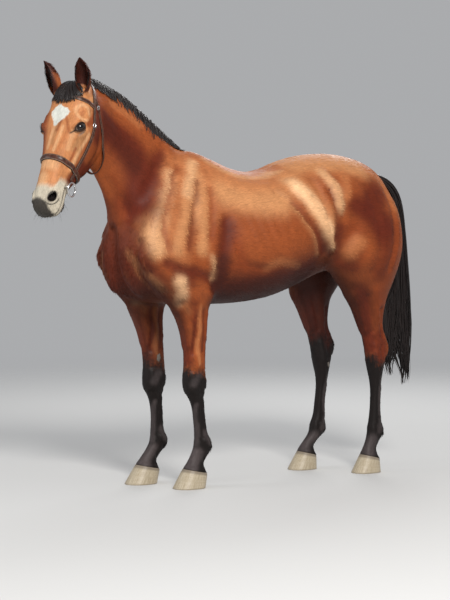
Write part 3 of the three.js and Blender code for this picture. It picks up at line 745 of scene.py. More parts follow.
def nostril_rings(centre, axes):
    def opening(turn, size=1.0):
        wide = 0.0178 * (1 + 0.3 * cos(turn)) * size
        return 0.0305 * cos(turn) * size, wide * sin(turn) + 0.0035 * cos(2 * turn) * size

    def rings(a0, b0, turn):
        oa, ob = opening(turn)
        wing = smooth(-0.5, 0.8, sin(turn + 0.5))
        for t in np.linspace(0.08, 1, 12):
            a, b = mix(a0, oa, t), mix(b0, ob, t)
            rim = mix(0.0022, 0.0058, wing) * smooth(0.25, 0.95, t) - 0.0012 * hump(t, 0.35, 0.3)
            yield a, b, skin_height(centre, axes, a, b, 0.01) + rim
        outer = skin_height(centre, axes, oa, ob, 0.01) + mix(0.0022, 0.0058, wing)
        for size, sink, back in ((0.93, 0.0005, 0), (0.85, 0.004, 0.001), (0.8, 0.01, 0.003),
                                 (0.74, 0.018, 0.007), (0.62, 0.026, 0.012), (0.4, 0.032, 0.016)):
            a, b = opening(turn, size)
            yield a - back, b, outer - sink
    return rings


for side in SIDES.values():
    centre, axes = nostril_place(side)
    graft(centre, axes, (0.046, 0.035), nostril_rings(centre, axes))
clock("eyes and nostrils grafted")

# %% [markdown]
# ## Muscle, bone and vein
#
# What lies under the hide is drawn as strokes: a curve over the side of the
# body, how wide it is, and how far it stands proud or lies hollow. Each one
# moves the skin along its own slope, and fades where the skin turns away.

# %% Strokes
def near(path, a, b):
    """Distance from the places a, b to a smooth curve through the path, in mm."""
    path = np.array(path, float)
    line = station(path, np.linspace(0, len(path) - 1, 4 * len(path) - 3))
    best = np.full(a.shape, np.inf)
    for (x, y), (dx, dy) in zip(line[:-1], np.diff(line, axis=0)):
        t = np.clip(((a - x) * dx + (b - y) * dy) / (dx * dx + dy * dy), 0, 1)
        best = np.minimum(best, (a - x - t * dx) ** 2 + (b - y - t * dy) ** 2)
    return sqrt(best)


def strokes(forms, a, b):
    return sum(height * hump(near(path, a, b), 0, width) for width, height, path in forms)


def forms(table):
    """Strokes: the width and height of each, then the places it runs through."""
    return [(width, height, np.reshape(path, (-1, 2))) for width, height, *path in numbers_of(table)]

# %% Forms of the trunk and neck
# over x, z, all in mm
BODY_FORMS = forms("""
62 7  -385,1490 -440,1400 -500,1310 -545,1220 -552,1140  # front of the shoulder
34 3  -240,1550 -290,1490 -335,1410
46 4  -250,1400 -270,1280 -285,1150
38 3  -330,1330 -400,1220 -430,1150
110 9  -370,1120 -330,1060  # triceps
24 -4.5  -340,1540 -400,1450 -460,1340 -500,1230 -480,1150
28 -5  -250,1470 -300,1360 -340,1240 -365,1150
28 -3.5  -195,1440 -212,1330 -240,1200
54 -11  -145,1280 -160,1180 -185,1080 -205,980  # behind the elbow
54 -7  -415,1610 -480,1500 -570,1360 -600,1250  # in front of the shoulder
36 -6  -480,1085 -400,1050 -330,1040 -235,1010
40 5  -605,1120 -570,1040 -510,975
44 7  -235,950 -215,915  # elbow
40 7  -405,985 -390,925
70 -7  370,1455 395,1410  # hollow of the flank
50 10  270,1450 330,1370 390,1290 430,1220 466,1150  # fold down to the stifle
20 4  180,1390 260,1290 330,1200 380,1110
28 -8  150,1420 220,1350 300,1275 380,1200 425,1130
44 9  455,1512 485,1430 500,1340  # point of the hip
24 -9  448,1430 474,1350 485,1260 488,1180
28 -6  375,1480 400,1380 430,1290
36 -8  525,1330 508,1200 535,1090
72 10  575,1120 610,1170  # stifle
80 5  560,1430 640,1330 660,1230
34 -5  650,1480 730,1330 745,1150 710,1030
30 -8  820,1500 858,1330 852,1180 815,1040  # between the hamstrings
34 4  892,1320 880,1180 842,1060
36 -9  -790,1590 -720,1470 -640,1370 -600,1280  # jugular groove
60 6  -745,1640 -650,1500 -560,1360
50 -5  -760,1790 -620,1690 -480,1600
52 6  -640,1850 -480,1730 -350,1620
60 4  -60,1470 120,1430 250,1450  # long muscle of the back
26 3  -180,1590 -100,1535 0,1500 150,1500 250,1535
34 -4  -110,1240 -95,1150 -50,1070 60,1050
""")

# over y, z
BREAST_FORMS = forms("""
46 -20  0,1240 0,1080 0,930
60 9  80,1150 82,1050 78,960
30 -10  176,1190 160,1100 146,1000 140,930
50 7  215,1130 205,1090
34 -5  60,1260 120,1220 170,1180
""")

# %% Forms of the legs
# over x, z
FORELEG_FORMS = forms("""
34 6  -375,860 -345,770 -322,690  # extensor of the forearm
18 5  -285,880 -270,760 -274,690 -262,600
18 -6  -302,880 -296,760 -298,650
16 -5  -250,850 -240,760 -240,660
22 4  -225,840 -222,720
26 4  -300,548 -290,478  # knee
20 6  -222,524 -218,492
13 -5  -258,548 -248,500 -246,460
12 -3  -300,566 -255,574 -220,570
13 -3  -300,448 -255,442 -225,440
10 -5  -243,430 -231,330 -222,250  # between bone and tendon
10 2.5  -222,420 -212,330 -205,250
20 6  -218,228 -200,200  # fetlock
13 -4  -250,238 -238,205 -232,180
14 -4  -235,160 -222,130 -214,110
15 2.5  -302,98 -250,84 -212,72  # coronet
""")

HINDLEG_FORMS = forms("""
46 7  650,900 705,800 735,730  # gaskin
34 5  760,930 790,840 815,770
20 -6  715,900 755,800 780,720
24 -11  815,830 838,740 850,690  # in front of the hamstring tendon
18 5  880,700 897,650 890,600
24 5  800,650 812,600 815,560  # hock
18 -6  842,640 846,590 845,550
14 -3  775,640 782,590
10 -5  838,440 836,350 836,270
10 2.5  852,440 850,350 852,270
20 6  838,232 850,205
13 -4  812,238 820,205 822,180
15 2.5  765,98 805,84 835,72
""")

# %% Forms of the head
# over u, v
HEAD_FORMS = forms("""
32 -6  140,16 165,24  # hollow over the eye
24 3  96,-22 140,-26 186,-32  # arch of the cheek bone
22 4  268,-38 330,-46 400,-50 440,-47  # facial crest
30 -2.5  290,-72 350,-80 415,-82
96 6  225,-125 262,-140  # muscle of the jaw
24 3  110,-178 190,-222 262,-230 320,-222 385,-186
24 -2.5  130,-150 200,-186 262,-194 330,-182
20 1.5  300,16 400,10 490,6  # edge of the nose bones
26 -2.5  290,-8 380,-16 470,-20
16 1.2  340,-26 430,-16 540,-2
10 1.2  256,-40 300,-66 350,-96 390,-128  # veins
9 .8  330,-36 400,-30 460,-30
10 .8  300,-66 328,-98 330,-138
34 3  100,22 120,24
""")

MOUTH_FORMS = forms("""
5.5 -6  517,-60 545,-58 590,-61 630,-64 672,-62  # line of the mouth
11 2.5  530,-48 590,-49 640,-50 670,-48  # upper lip
11 2.5  540,-72 590,-75 640,-77  # lower lip
9 -2  508,-58 514,-60
30 6  590,-104 606,-104  # chin
20 -4  655,-84 662,-78
""")

# %% Sculpting
def sculpted(p):
    """The skin with every stroke laid on it."""
    n = slope(body, p, 1.5 * VOXEL)
    x, z = p[:, 0] * 1000, p[:, 2] * 1000
    u, y, v = head_axes(p)
    sideways = smooth(0.2, 0.6, abs(n[:, 1]))
    lift = sideways * strokes(BODY_FORMS, x, z) * smooth(-0.8, -0.74, p[:, 0])
    low = p[:, 2] < 0.97
    lift[low] += (sideways * (strokes(FORELEG_FORMS, x, z) + strokes(HINDLEG_FORMS, x, z)))[low]
    spine = smooth(-0.25, 0.0, p[:, 0]) * smooth(0.85, 0.7, p[:, 0]) * smooth(0.5, 0.9, n[:, 2])
    lift -= 5 * spine * hump(y, 0, 34)
    breast = smooth(-0.46, -0.56, p[:, 0]) * smooth(0.2, 0.6, -n[:, 0])
    lift += breast * strokes(BREAST_FORMS, abs(y), z)
    buttock = smooth(0.8, 0.9, p[:, 0])
    lift -= 26 * buttock * hump(y, 0, 42) * hump(z, 1200, 260)
    ribs = hump(x, 90, 300) * hump(z, 1230, 260) * sideways
    lift += 1.3 * ribs * sin((x + 0.35 * z) / 52 * 2 * pi)
    on_head = (u > 20) & (p[:, 0] < -0.8)
    clear = 1.0  # of the eyes and nostrils
    for place, _ in (eye_place(1), nostril_place(1)):
        away = np.linalg.norm(np.where([0, 1, 0], abs(p), p)[on_head] - place, axis=-1)
        clear = clear * smooth(0.026, 0.044, away)
    a, b = u[on_head], v[on_head]
    lift[on_head] += clear * (sideways[on_head] * strokes(HEAD_FORMS, a, b) + strokes(MOUTH_FORMS, a, b))
    return p + lift[:, None] / 1000 * n


set_skin_points(sculpted(skin_points()))
clock("sculpted")

# %% [markdown]
# An ear is a leaf rolled into a funnel. One section is a loop that runs round
# the outside of the leaf and back along its inside, drawn in the angle round
# the ear and the distance from its axis, so both rims come out rounded. The
# ears are joined to the skin as solids and the joint is then relaxed.

# %% Ears
EAR_LENGTH = 0.156
EAR_SIDES = {-1: (72, 8, 15), 1: (80, 17, 19)}  # y of the root, lean outwards, tilt forward


def ear_axes(side):
    """The root of an ear, and its axes: up, towards its opening, and across."""
    y, lean, forward = EAR_SIDES[side]
    up = unit(np.array([-sin(forward * RAD), side * sin(lean * RAD), 1]))
    opening = square_to(np.array([-0.86, side * 0.5, 0]), up)
    return head_point(56, side * y, 6), up, opening, np.cross(up, opening)


def ear_points(side, t, w, inner=0.0):
    """Place on an ear at height t and angle w round its loop: outside for w from
    0 to pi, inside from pi to 2 pi. `inner` pulls it off the surface, inwards."""
    root, up, opening, across = ear_axes(side)
    belly = 1 + 0.1 * sin(pi * np.clip(t, 0, 1))
    radius = 0.04 * (1.004 - t) ** 0.75 * (0.68 + 1.35 * t) * belly
    half = (80 + 85 * np.exp(-3 * np.maximum(t, -0.02))) * RAD
    wall = np.minimum(0.0046, radius * 0.5)
    a = -half * cos(w)
    r = radius - wall / 2 + (wall / 2 - inner) * sin(w)
    tip_in = -side * 0.01 * smooth(0.5, 1.05, t)
    parts = ((t * EAR_LENGTH, up), (0.01 * t * t - r * cos(a), opening), (r * sin(a), across),
             (tip_in, ACROSS))
    return root + sum(k[..., None] * way for k, way in parts)


def mesh_object(name, points, faces):
    mesh = bpy.data.meshes.new(name)
    mesh.from_pydata(points.tolist(), [], faces)
    mesh.validate()
    mesh.shade_smooth()
    return new_object(name, mesh)


bmesh.ops.recalc_face_normals(skin, faces=skin.faces)
skin_piece = new_object("skin", bpy.data.meshes.new("skin"))
skin.to_mesh(skin_piece.data)
skin.free()
ears = []
for side in SIDES.values():
    t, w = np.meshgrid(np.linspace(-0.16, 1, 40), circle(44), indexing="ij")
    ear = mesh_object("ear", *closed_tube(ear_points(side, t, w)))
    union = skin_piece.modifiers.new("ear", "BOOLEAN")
    union.operation, union.solver, union.object = "UNION", "MANIFOLD", ear
    ears.append(ear)
depsgraph = bpy.context.evaluated_depsgraph_get()
joined = bpy.data.meshes.new_from_object(skin_piece.evaluated_get(depsgraph))
skin_piece.modifiers.clear()
skin_piece.data = joined
for ear in ears:
    bpy.data.objects.remove(ear)
print("with ears", len(joined.vertices), "points,", len(joined.polygons), "faces")
clock("ears joined")

# %% [markdown]
# The joint between an ear and the head comes out of the union as a hard line
# of uneven faces, so the points near it are drawn towards their neighbours.

# %% Skin as arrays
def read(things, name, kind=float, width=1):
    """A property of every point, edge, face or corner of a mesh as one array."""
    values = np.empty(len(things) * width, kind)
    things.foreach_get(name, values)
    return values.reshape(-1, width) if width > 1 else values


straight = read(joined.vertices, "co", float, 3)
skin_edges = read(joined.edges, "vertices", int, 2)
at_ear = 0
for side in SIDES.values():
    away = np.linalg.norm(straight - ear_axes(side)[0], axis=-1)
    at_ear = np.maximum(at_ear, smooth(0.075, 0.055, away) * hump(proud(straight), 0.001, 0.01))
straight = mix(straight, evened(straight, skin_edges, 8), at_ear[:, None])

joined.vertices.foreach_set("co", straight.ravel())
joined.update()
skin_normals = read(joined.vertex_normals, "vector", float, 3)
joined.calc_loop_triangles()
skin_tris = read(joined.loop_triangles, "vertices", int, 3)
skin_tree = BVHTree.FromPolygons(straight.tolist(), skin_tris.tolist())
print("skin", len(straight), "points", len(skin_tris), "triangles")

# %% [markdown]
# ## The stance
#
# One function of position bends the straight body: the right legs step forward
# of the left ones, the head turns at the poll, and the neck bends along its
# length. It moves every piece, so nothing that touches comes apart.

# %% Stance
# height, and how far the right leg stands behind (+) or ahead (-) of the left one, in mm
RIGHT_FORE, RIGHT_HIND = (np.reshape(row, (-1, 2)) for row in numbers_of("""
0,-105 100,-100 220,-81 360,-70 540,-58 800,-68 930,-48 1050,-16 1160,0
0,-190 100,-184 200,-152 300,-138 500,-124 700,-128 860,-124 960,-98 1060,-58 1160,-24 1260,0
"""))
HEAD_TURN, NECK_TURN = 11 * RAD, 11 * RAD
NECK_BASE = np.array([-0.42, 1.42])
NECK_SPAN = 0.41
ROOT_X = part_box("forehoof_left")[1][0] + 0.2  # from the body's own origin to the model's
HEAD_JOINT = -0.72  # x of the axis that the head turns about
POLL_PLACE, POLL_WAY = (-0.69, 1.7), (-0.975, 0.225)  # x, z where head meets neck, and the way on
HALF_ROOT = 0.7071  # the neck rises at 45 degrees


def turned(x, y, angle):
    return x * cos(angle) - y * sin(angle), x * sin(angle) + y * cos(angle)


def stance(p):
    """The straight body's places, moved into the stance and the model's frame."""
    x, y, z = np.moveaxis(np.asarray(p, float), -1, 0)
    right = smooth(-0.03, 0.07, y)
    fore = 1 - smooth(-0.12, 0.06, x)
    hind = smooth(0.33, 0.48, x)
    step = fore * through(RIGHT_FORE, z * 1000) + hind * through(RIGHT_HIND, z * 1000)
    px = x + right * step / 1000
    ahead = (x - POLL_PLACE[0]) * POLL_WAY[0] + (z - POLL_PLACE[1]) * POLL_WAY[1]
    px, py = turned(px - HEAD_JOINT, y, HEAD_TURN * smooth(-0.07, 0.05, ahead))
    px = px + HEAD_JOINT
    t = np.clip(((z - NECK_BASE[1]) - (x - NECK_BASE[0])) * HALF_ROOT / NECK_SPAN, 0, 1)
    middle = NECK_BASE[0] - HALF_ROOT * NECK_SPAN * t
    sway = -HALF_ROOT * NECK_SPAN * NECK_TURN * (t ** 3 - t ** 4 / 2)
    px, py = turned(px - middle, py, NECK_TURN * t * t * (3 - 2 * t))
    return stacked(px + middle + ROOT_X, py + sway, z)


print("the body's origin stands at x", round(ROOT_X, 4))

# %% [markdown]
# ## Colour of the coat
#
# A bay is red-brown with black points: legs, muzzle, rims of the ears, mane
# and tail. Light and shade are painted into that colour as well: painted
# highlights over the shoulder, ribs and quarters, and painted shade under the
# belly and inside the legs. One function gives the colour at any place of the
# straight body, and both the skin and its tufts ask it.

# %% Colour of the coat
rng = np.random.default_rng(7)


def fuzz(p, size, seed):
    """A smooth random field between about -1 and 1: a sum of eight waves of
    random direction and phase, about `size` metres long."""
    own = np.random.default_rng(seed)
    waves = unit(own.normal(size=(8, 3))) * own.uniform(0.6, 1.6, (8, 1)) * 2 * pi / size
    return sin(p @ waves.T + own.uniform(0, 2 * pi, 8)).sum(axis=-1) / 3


# red, green and blue, linear
COATS = {name: [float(k) for k in rgb] for name, *rgb in words_of("""
FLAX .86 .52 .28
CREAM .62 .335 .165
TAN .53 .238 .097
SAND .43 .148 .052
BAY .275 .064 .016
RUST .22 .042 .01
LIVER .105 .014 .005
DEEP .036 .007 .004
BLACK .0095 .0065 .006
GREY .088 .07 .07
WHITE .62 .62 .56
PALE .5 .455 .36
CHIN .22 .19 .17
NOSE .011 .008 .008
OLIVE .36 .17 .07
EAR .045 .01 .006
""")}


def shades(table):
    """Strokes of painted highlight and shade: the colour's name, reach in mm and share of each, then its
    places.
    """
    return [(name, float(reach), float(share), np.reshape(path, (-1, 2)).astype(float))
            for name, reach, share, *path in words_of(table)]

print("colours", *COATS)

# %% Painted light and shade over the body
# painted highlights and shade along the muscles, over x, z
BODY_PAINTED_LIGHT = shades("""
SAND 110 .7  -350,1520 -200,1500 -100,1500
TAN 108 .95  -110,1425 20,1400 140,1390
SAND 60 .6  -140,1520 0,1470 150,1470 260,1500
TAN 66 .85  330,1560 450,1575 600,1570 700,1540
SAND 48 .7  760,1530 850,1460 900,1360 915,1300
RUST 44 .8  -110,1060 20,1040 150,1040 260,1060
LIVER 78 .9  -150,950 0,955 200,985 340,1040
DEEP 56 .9  -170,890 0,885 200,915 330,960
SAND 26 .7  60,1062 150,1082 250,1064
LIVER 112 .9  730,1400 700,1330 770,1250
LIVER 86 .7  780,1240 790,1130 760,1040
LIVER 66 .9  600,1355 660,1340
RUST 40 .7  575,1262 560,1220
LIVER 30 .8  512,1250 506,1170 540,1080 600,1050
RUST 80 .7  590,1210 600,1110
SAND 50 .85  578,1125 612,1170  # stifle
RUST 28 .7  890,1300 875,1180 840,1060 815,980
TAN 74 .7  265,1470 340,1380 410,1290
FLAX 46 .9  270,1450 330,1375 390,1295 430,1225  # fold of the flank
FLAX 26 .85  420,1240 450,1190 468,1150
CREAM 20 .75  318,1405 372,1320 412,1245 446,1185
SAND 26 .6  375,1500 395,1400 420,1310
CREAM 32 .9  440,1510 487,1430 502,1340
LIVER 13 .8  450,1430 475,1350 485,1260 488,1180
SAND 30 .8  560,1490 540,1400
LIVER 30 .75  335,1210 375,1165 410,1125
LIVER 24 .6  220,1350 300,1275 380,1200 425,1130
TAN 9 .8  180,1390 260,1290 330,1200 380,1110
SAND 46 .7  -200,1420 -220,1300
SAND 100 .75  -290,1500 -360,1370 -410,1240 -430,1160
TAN 44 .85  -250,1500 -262,1380 -275,1260 -288,1150
TAN 40 .8  -325,1370 -385,1260 -430,1150
LIVER 44 .9  -425,1610 -490,1500 -575,1360 -602,1250
TAN 62 .9  -490,1320 -535,1220 -540,1150  # front of the shoulder
CREAM 56 .72  -505,1305 -540,1220 -545,1155
CREAM 36 .9  -385,1500 -435,1410 -490,1325
CREAM 26 .9  -240,1560 -285,1490 -330,1410
RUST 17 .8  -340,1540 -400,1450 -460,1340 -492,1230 -476,1150
LIVER 20 .75  -250,1470 -300,1360 -340,1240 -365,1150
RUST 18 .75  -195,1440 -212,1330 -235,1200
RUST 32 .8  -110,1240 -95,1150 -60,1070
LIVER 50 .92  -148,1270 -158,1180 -170,1080 -190,980
DEEP 44 .7  -165,1090 -190,970
LIVER 34 .85  -480,1085 -400,1050 -330,1040 -240,1010
CREAM 16 .8  -226,1110 -216,1010
LIVER 44 .7  -420,1010 -360,1010
FLAX 36 .76  -412,1000 -388,905  # top of the forearm
SAND 22 .7  -375,900 -330,850
LIVER 118 .95  -800,1740 -690,1680 -590,1590 -555,1480 -575,1380
DEEP 74 .45  -790,1730 -690,1650 -610,1560
BAY 56 .95  -780,1860 -650,1790 -530,1730 -440,1660  # under the mane
SAND 24 .6  -700,1835 -600,1790 -520,1735
RUST 12 .7  -700,1500 -645,1400 -618,1300
LIVER 60 .85  -625,1180 -592,1070 -520,980
SAND 9 .7  -603,1110 -580,1040 -520,975
CREAM 10 .6  -180,1585 -100,1530 0,1496 150,1496 250,1530
""")

# painted highlights on the breast, over y, z
BREAST_PAINTED_LIGHT = shades("""
TAN 26 .75  115,1135 145,1098 165,1062 190,1015 200,965
SAND 20 .6  72,1050 66,1005
""")

# %% Painted light and shade over the legs
# painted highlights and shade along the forearms and gaskins, over x, z
LEG_PAINTED_LIGHT = shades("""
LIVER 40 .85  -400,820 -350,720 -330,620
RUST 24 .8  -325,900 -308,800
LIVER 13 .8  -302,860 -297,760 -300,650
SAND 13 .8  -286,880 -271,760 -275,690 -264,600
LIVER 11 .7  -252,850 -242,760 -244,660
RUST 16 .8  -224,840 -222,640
LIVER 46 .9  640,1000 700,870 740,750 770,640
RUST 60 .8  770,950 800,850 825,780
LIVER 60 .85  830,700 840,640 830,590
SAND 16 .6  640,1060 665,1000
""")

# over x, z, where the black legs shine grey
LEG_PAINTED_SHEEN = shades("""
GREY 26 .4  -290,505 -262,546
GREY 24 .45  -215,260 -196,226
GREY 36 .7  -300,100 -258,165
GREY 13 .45  -262,400 -262,210
GREY 16 .45  846,480 844,300
GREY 36 .62  765,100 800,165
GREY 22 .4  850,265 838,210
GREY 26 .3  880,640 868,560
""")

# %% Painted light and shade over the head
# painted highlights and shade on the cheek and round the eye, over u, v
CHEEK_PAINTED_LIGHT = shades("""
LIVER 64 .92  40,-110 130,-130 200,-150 250,-172
BAY 58 .85  285,-200 300,-160 312,-125
LIVER 42 .85  360,-190 392,-150 402,-112 470,-78
RUST 22 .85  140,-90 175,-66 204,-46
TAN 15 .8  60,-62 85,-50
CREAM 15 .85  250,-64 320,-56 380,-50 425,-46
SAND 14 .5  260,-42 340,-28 420,-20
CREAM 9 .75  160,-36 138,-22 130,0 142,18 166,28 188,18 196,-4 190,-28
RUST 10 .35  158,-4 174,4
CREAM 12 .6  262,12 300,6 350,2
OLIVE 22 .85  262,-29 290,-30 335,-26
RUST 5 .7  330,-28 380,-26 405,-22
""")

# painted highlights and shade on the front of the face, over u, y
FACE_PAINTED_LIGHT = shades("""
CREAM 34 .8  430,-25 430,25
CREAM 40 .9  500,10 540,12
OLIVE 13 .75  212,-22 245,-14 290,-5 335,-1
RUST 8 .6  222,-27 246,-19 276,-12
SAND 8 .7  280,-62 340,-44 390,-30
CREAM 10 .8  255,-40 310,-30 370,-16
CREAM 10 .8  248,6 300,14 360,20
RUST 40 .9  200,88 300,78 380,66
RUST 9 .5  205,-44 240,-62 270,-70
""")
# u, and the two edges of the star in y
STAR_EDGES = np.array(numbers_of("""
150 -5 12
165 -46 28
180 -58 42
195 -52 38
210 -40 30
225 -22 24
240 -8 16
254 2 7
""")).T
BLACK_FROM = {-1: (0.56, 0.57), 1: (0.58, 0.66)}  # side: height of the black, fore and hind
print("strokes of colour", len(BODY_PAINTED_LIGHT), "on the body", len(CHEEK_PAINTED_LIGHT + FACE_PAINTED_LIGHT), "on the head")

# %% [markdown]
# A coat has no hard edges but those of its white marks. So each stroke of
# painted highlight and shade fades out over most of its reach, and a slow
# wander of the places it is asked for keeps every edge from looking drawn.

# %% Laying colours
def laid(colours, name, share):
    return colours + (np.array(COATS[name]) - colours) * np.clip(share, 0, 1)[:, None]


def shaded(colours, shades, a, b, share=1.0):
    """Colours laid along paths, each fading out from a third of its reach."""
    share = np.broadcast_to(share, a.shape)
    for name, reach, strength, path in shades:
        (low_a, low_b), (high_a, high_b) = path.min(axis=0) - 1.3 * reach, path.max(axis=0) + 1.3 * reach
        k = np.flatnonzero((a > low_a) & (a < high_a) & (b > low_b) & (b < high_b) & (share > 0))
        fade = smooth(1.25, 0.3, near(path, a[k], b[k]) / reach)
        colours[k] = laid(colours[k], name, share[k] * strength * fade)
    return colours

# %% Colour of the body
def body_colour(p, n, wander, fine, head):
    """The colour of the trunk, neck and legs, with painted light and shade laid on it."""
    x, y, z = p.T
    a, b = (x + wander) * 1000, (z - 0.7 * wander) * 1000
    c = np.tile(COATS["BAY"], (len(p), 1))
    # painted highlight: lighter where the upper body faces up
    c = laid(c, "SAND", 0.5 * smooth(0.35, 0.9, n[:, 2]) * smooth(1.3, 1.5, z))
    sideways = np.where(x < -0.3, smooth(0.12, 0.62, abs(n[:, 1])), 1)
    # painted shade where the neck and breast turn from the side to the front
    c = laid(c, "LIVER", 0.55 * (1 - sideways) * smooth(-0.4, -0.52, x) * smooth(1.52, 1.34, z))
    # strokes of painted highlight and shade, strongest where the body faces sideways
    c = shaded(c, BODY_PAINTED_LIGHT, a, b, (1 - head) * (0.12 + 0.88 * sideways))
    # painted highlights on the front of the breast
    breast = smooth(-0.44, -0.52, x) * smooth(0.1, 0.45, -n[:, 0]) * (1 - head)
    c = shaded(c, BREAST_PAINTED_LIGHT, abs(y) * 1000 + 500 * wander, b, breast)
    # painted highlights and shade on the forearms and gaskins
    c = shaded(c, LEG_PAINTED_LIGHT, a, b, smooth(1.0, 0.92, z))
    # painted shade under the belly
    under = smooth(0.0, -0.7, n[:, 2]) * smooth(1.45, 1.15, z) * smooth(0.55, 0.75, z)
    c = laid(c, "DEEP", 0.8 * under * (1 - head))
    # painted shade inside the legs
    inner = smooth(0.0, 0.6, -n[:, 1] * np.sign(y)) * smooth(1.18, 1.0, z)
    c = laid(c, "DEEP", np.where(x < FORE_HIND, 0.55, 0.92) * inner)
    # painted shade low on the breast
    low_breast_shade = smooth(-0.5, -0.62, x) * smooth(1.32, 1.12, z)
    c = laid(c, "LIVER", 0.75 * low_breast_shade * smooth(0.75, 0.3, abs(n[:, 1])))
    # painted shade in the cleft between the buttocks
    c = laid(c, "DEEP", 0.9 * smooth(0.82, 0.9, x) * hump(y, 0, 0.05) * smooth(0.9, 1.1, z))
    ahead = np.where(x < FORE_HIND, smooth(-0.22, -0.32, x), smooth(0.84, 0.74, x))
    for side, (fore, hind) in BLACK_FROM.items():
        top = np.where(x < FORE_HIND, fore, hind) + 0.04 * ahead + 3 * wander
        c = laid(c, "BLACK", (y * side > 0) * smooth(top + 0.035, top - 0.045, z + 0.012 * fine))
    # painted grey sheen on the black legs
    return shaded(c, LEG_PAINTED_SHEEN, a, b, smooth(0.58, 0.54, z))

# %% Colour of the face
def eye_and_nostril(face, p, side):
    """Dark rims laid round one eye and one nostril, with painted shade below the eye, inside the nostril and
    in the crease of its rim.
    """
    middle, axes = eye_place(side)
    a, b, c = ((p - middle) @ axes.T).T
    face = laid(face, "NOSE", 0.94 * smooth(0.0265, 0.0195, hypot(a / 1.45, b)) * (c > 0))
    # a dark line running on from the front corner of the eye
    corner_line = smooth(0.0055, 0.0015, abs(b + 0.002)) * smooth(0.022, 0.03, a) * smooth(0.06, 0.046, a)
    face = laid(face, "NOSE", 0.85 * corner_line * (c > -0.03))
    # a grey band of painted shade below the lower lid
    below = hump(b + 0.15 * a, -0.027, 0.009) * hump(a, 0.004, 0.034)
    face = laid(face, "CHIN", 0.6 * below * (c > -0.03))
    middle, axes = nostril_place(side)
    a, b, c = ((p - middle) @ axes.T).T
    off = hypot(a / 1.5, b)
    face = laid(face, "NOSE", 0.9 * smooth(0.024, 0.017, off))
    # painted shade: black laid by depth inside the nostril
    inside = smooth(-0.002, -0.008, proud(p))
    face = laid(face, "BLACK", inside * smooth(0.05, 0.03, off))
    # painted shade along the crease round the lower rim of the nostril
    fold = hump(hypot(a / 1.35, b + 0.002), 0.0288, 0.0042)
    return laid(face, "NOSE", 0.9 * fold * smooth(0.2, 0.7, -sin(np.arctan2(b, a) - 0.5)) * (c > -0.03))


def face_colour(p, n, wander, fine):
    """The colour of the head, with its pale muzzle, dark nose and white star, and painted light and shade."""
    u, _, v = head_axes(p)
    across, facing = p[:, 1] * 1000, n @ HEAD_V
    face = np.tile(COATS["SAND"], (len(p), 1))
    # painted highlight where the face turns forward, and along the top of its sides
    front = smooth(0.15, 0.75, facing)
    face = laid(face, "TAN", 0.5 * front + 0.6 * smooth(-75, -40, v) * (1 - front))
    # painted shade low on the sides of the head
    face = laid(face, "LIVER", 0.8 * smooth(-60, -110, v) * (1 - front))
    a, b = u + 600 * wander, v + 500 * wander
    # painted highlights and shade on the cheeks, round the eye and down the face
    face = shaded(face, CHEEK_PAINTED_LIGHT, a, b, 1 - smooth(0.75, 0.95, facing))
    face = shaded(face, FACE_PAINTED_LIGHT, a, across + 300 * wander, smooth(0.35, 0.7, facing))
    # painted shade under the jaw
    face = laid(face, "DEEP", 0.7 * smooth(-0.2, -0.9, facing) * smooth(-60, -150, v))
    face = laid(face, "PALE", 0.95 * smooth(470, 512, u + 900 * wander - 48 * front))
    face = laid(face, "CHIN", 0.8 * smooth(560, 590, u) * smooth(-66, -84, v))
    apart = abs(across - 12) + 900 * wander + 2.5 * fine
    tip = smooth(588, 608, u + 600 * wander - 0.15 * apart) * smooth(52, 34, apart - 0.6 * (u - 620))
    face = laid(face, "NOSE", 0.92 * tip * smooth(-62, -46, v))
    for side in SIDES.values():
        face = eye_and_nostril(face, p, side)
    # painted shade: a dark line in the crease where the lips part
    face = laid(face, "NOSE", 0.8 * smooth(505, 520, u) * hump(v, -61, 6))
    left, right = (np.interp(u, STAR_EDGES[0], STAR_EDGES[k]) for k in (1, 2))
    inside = np.minimum(across - left, right - across) + 700 * wander + 2.5 * fine
    star = smooth(-1.5, 2.5, inside) * smooth(140, 150, u) * smooth(256, 246, u)
    return laid(face, "WHITE", star * (facing > 0.2))

# %% Colour anywhere
def coat_colour(p, n):
    """The colour at places p of the straight body, where the skin faces n."""
    x, y, z = p.T
    u = head_axes(p)[0]
    wander = fuzz(p, 0.12, 1) * 0.006 + fuzz(p, 0.03, 2) * 0.0012
    fine = fuzz(p * [0.35, 1, 1], 0.008, 3)
    head = smooth(-0.8, -0.86, x) * smooth(-30, 30, u)
    c = mix(body_colour(p, n, wander, fine, head), face_colour(p, n, wander, fine), head[:, None])
    ears = smooth(0.004, 0.012, proud(p)) * (u < 90) * (abs(y) > 0.03) * (z > 1.86)
    opening = ear_axes(-1)[2] * np.where(y[:, None] > 0, [1, -1, 1], 1)
    dark = np.maximum(smooth(-0.35, 0.25, (n * opening).sum(axis=1)), smooth(1.92, 2.0, z + 0.01 * fine))
    c = laid(laid(c, "BAY", 0.8 * ears), "EAR", ears * dark)
    return c * (1 + 0.06 * fuzz(p, 0.05, 8) + 0.05 * fine)[:, None]


skin_colour = coat_colour(straight, skin_normals)
on_trunk = smooth(0.8, 0.95, straight[:, 2]) * smooth(-0.88, -0.8, straight[:, 0])
skin_colour = mix(skin_colour, evened(skin_colour, skin_edges, 2), on_trunk[:, None])
clock("coat colour")

# %% [markdown]
# ## Materials
#
# A material is a sum of waves, noises and stored colours. The class below
# wraps a node's output so that sums can be written as sums, 1 - mask as well as
# mask - 1; every other node is made by one method that takes its type,
# settings and inputs.

# %% Material tools
class Wire:
    """A number, colour or vector running between a material's nodes."""

    def __init__(self, paint, socket):
        self.paint, self.socket = paint, socket

    def maths(self, operation, a, b):
        return self.paint.node("ShaderNodeMath", {"operation": operation}, {0: a, 1: b})

    def __abs__(self):
        return self.maths("ABSOLUTE", self, 0)


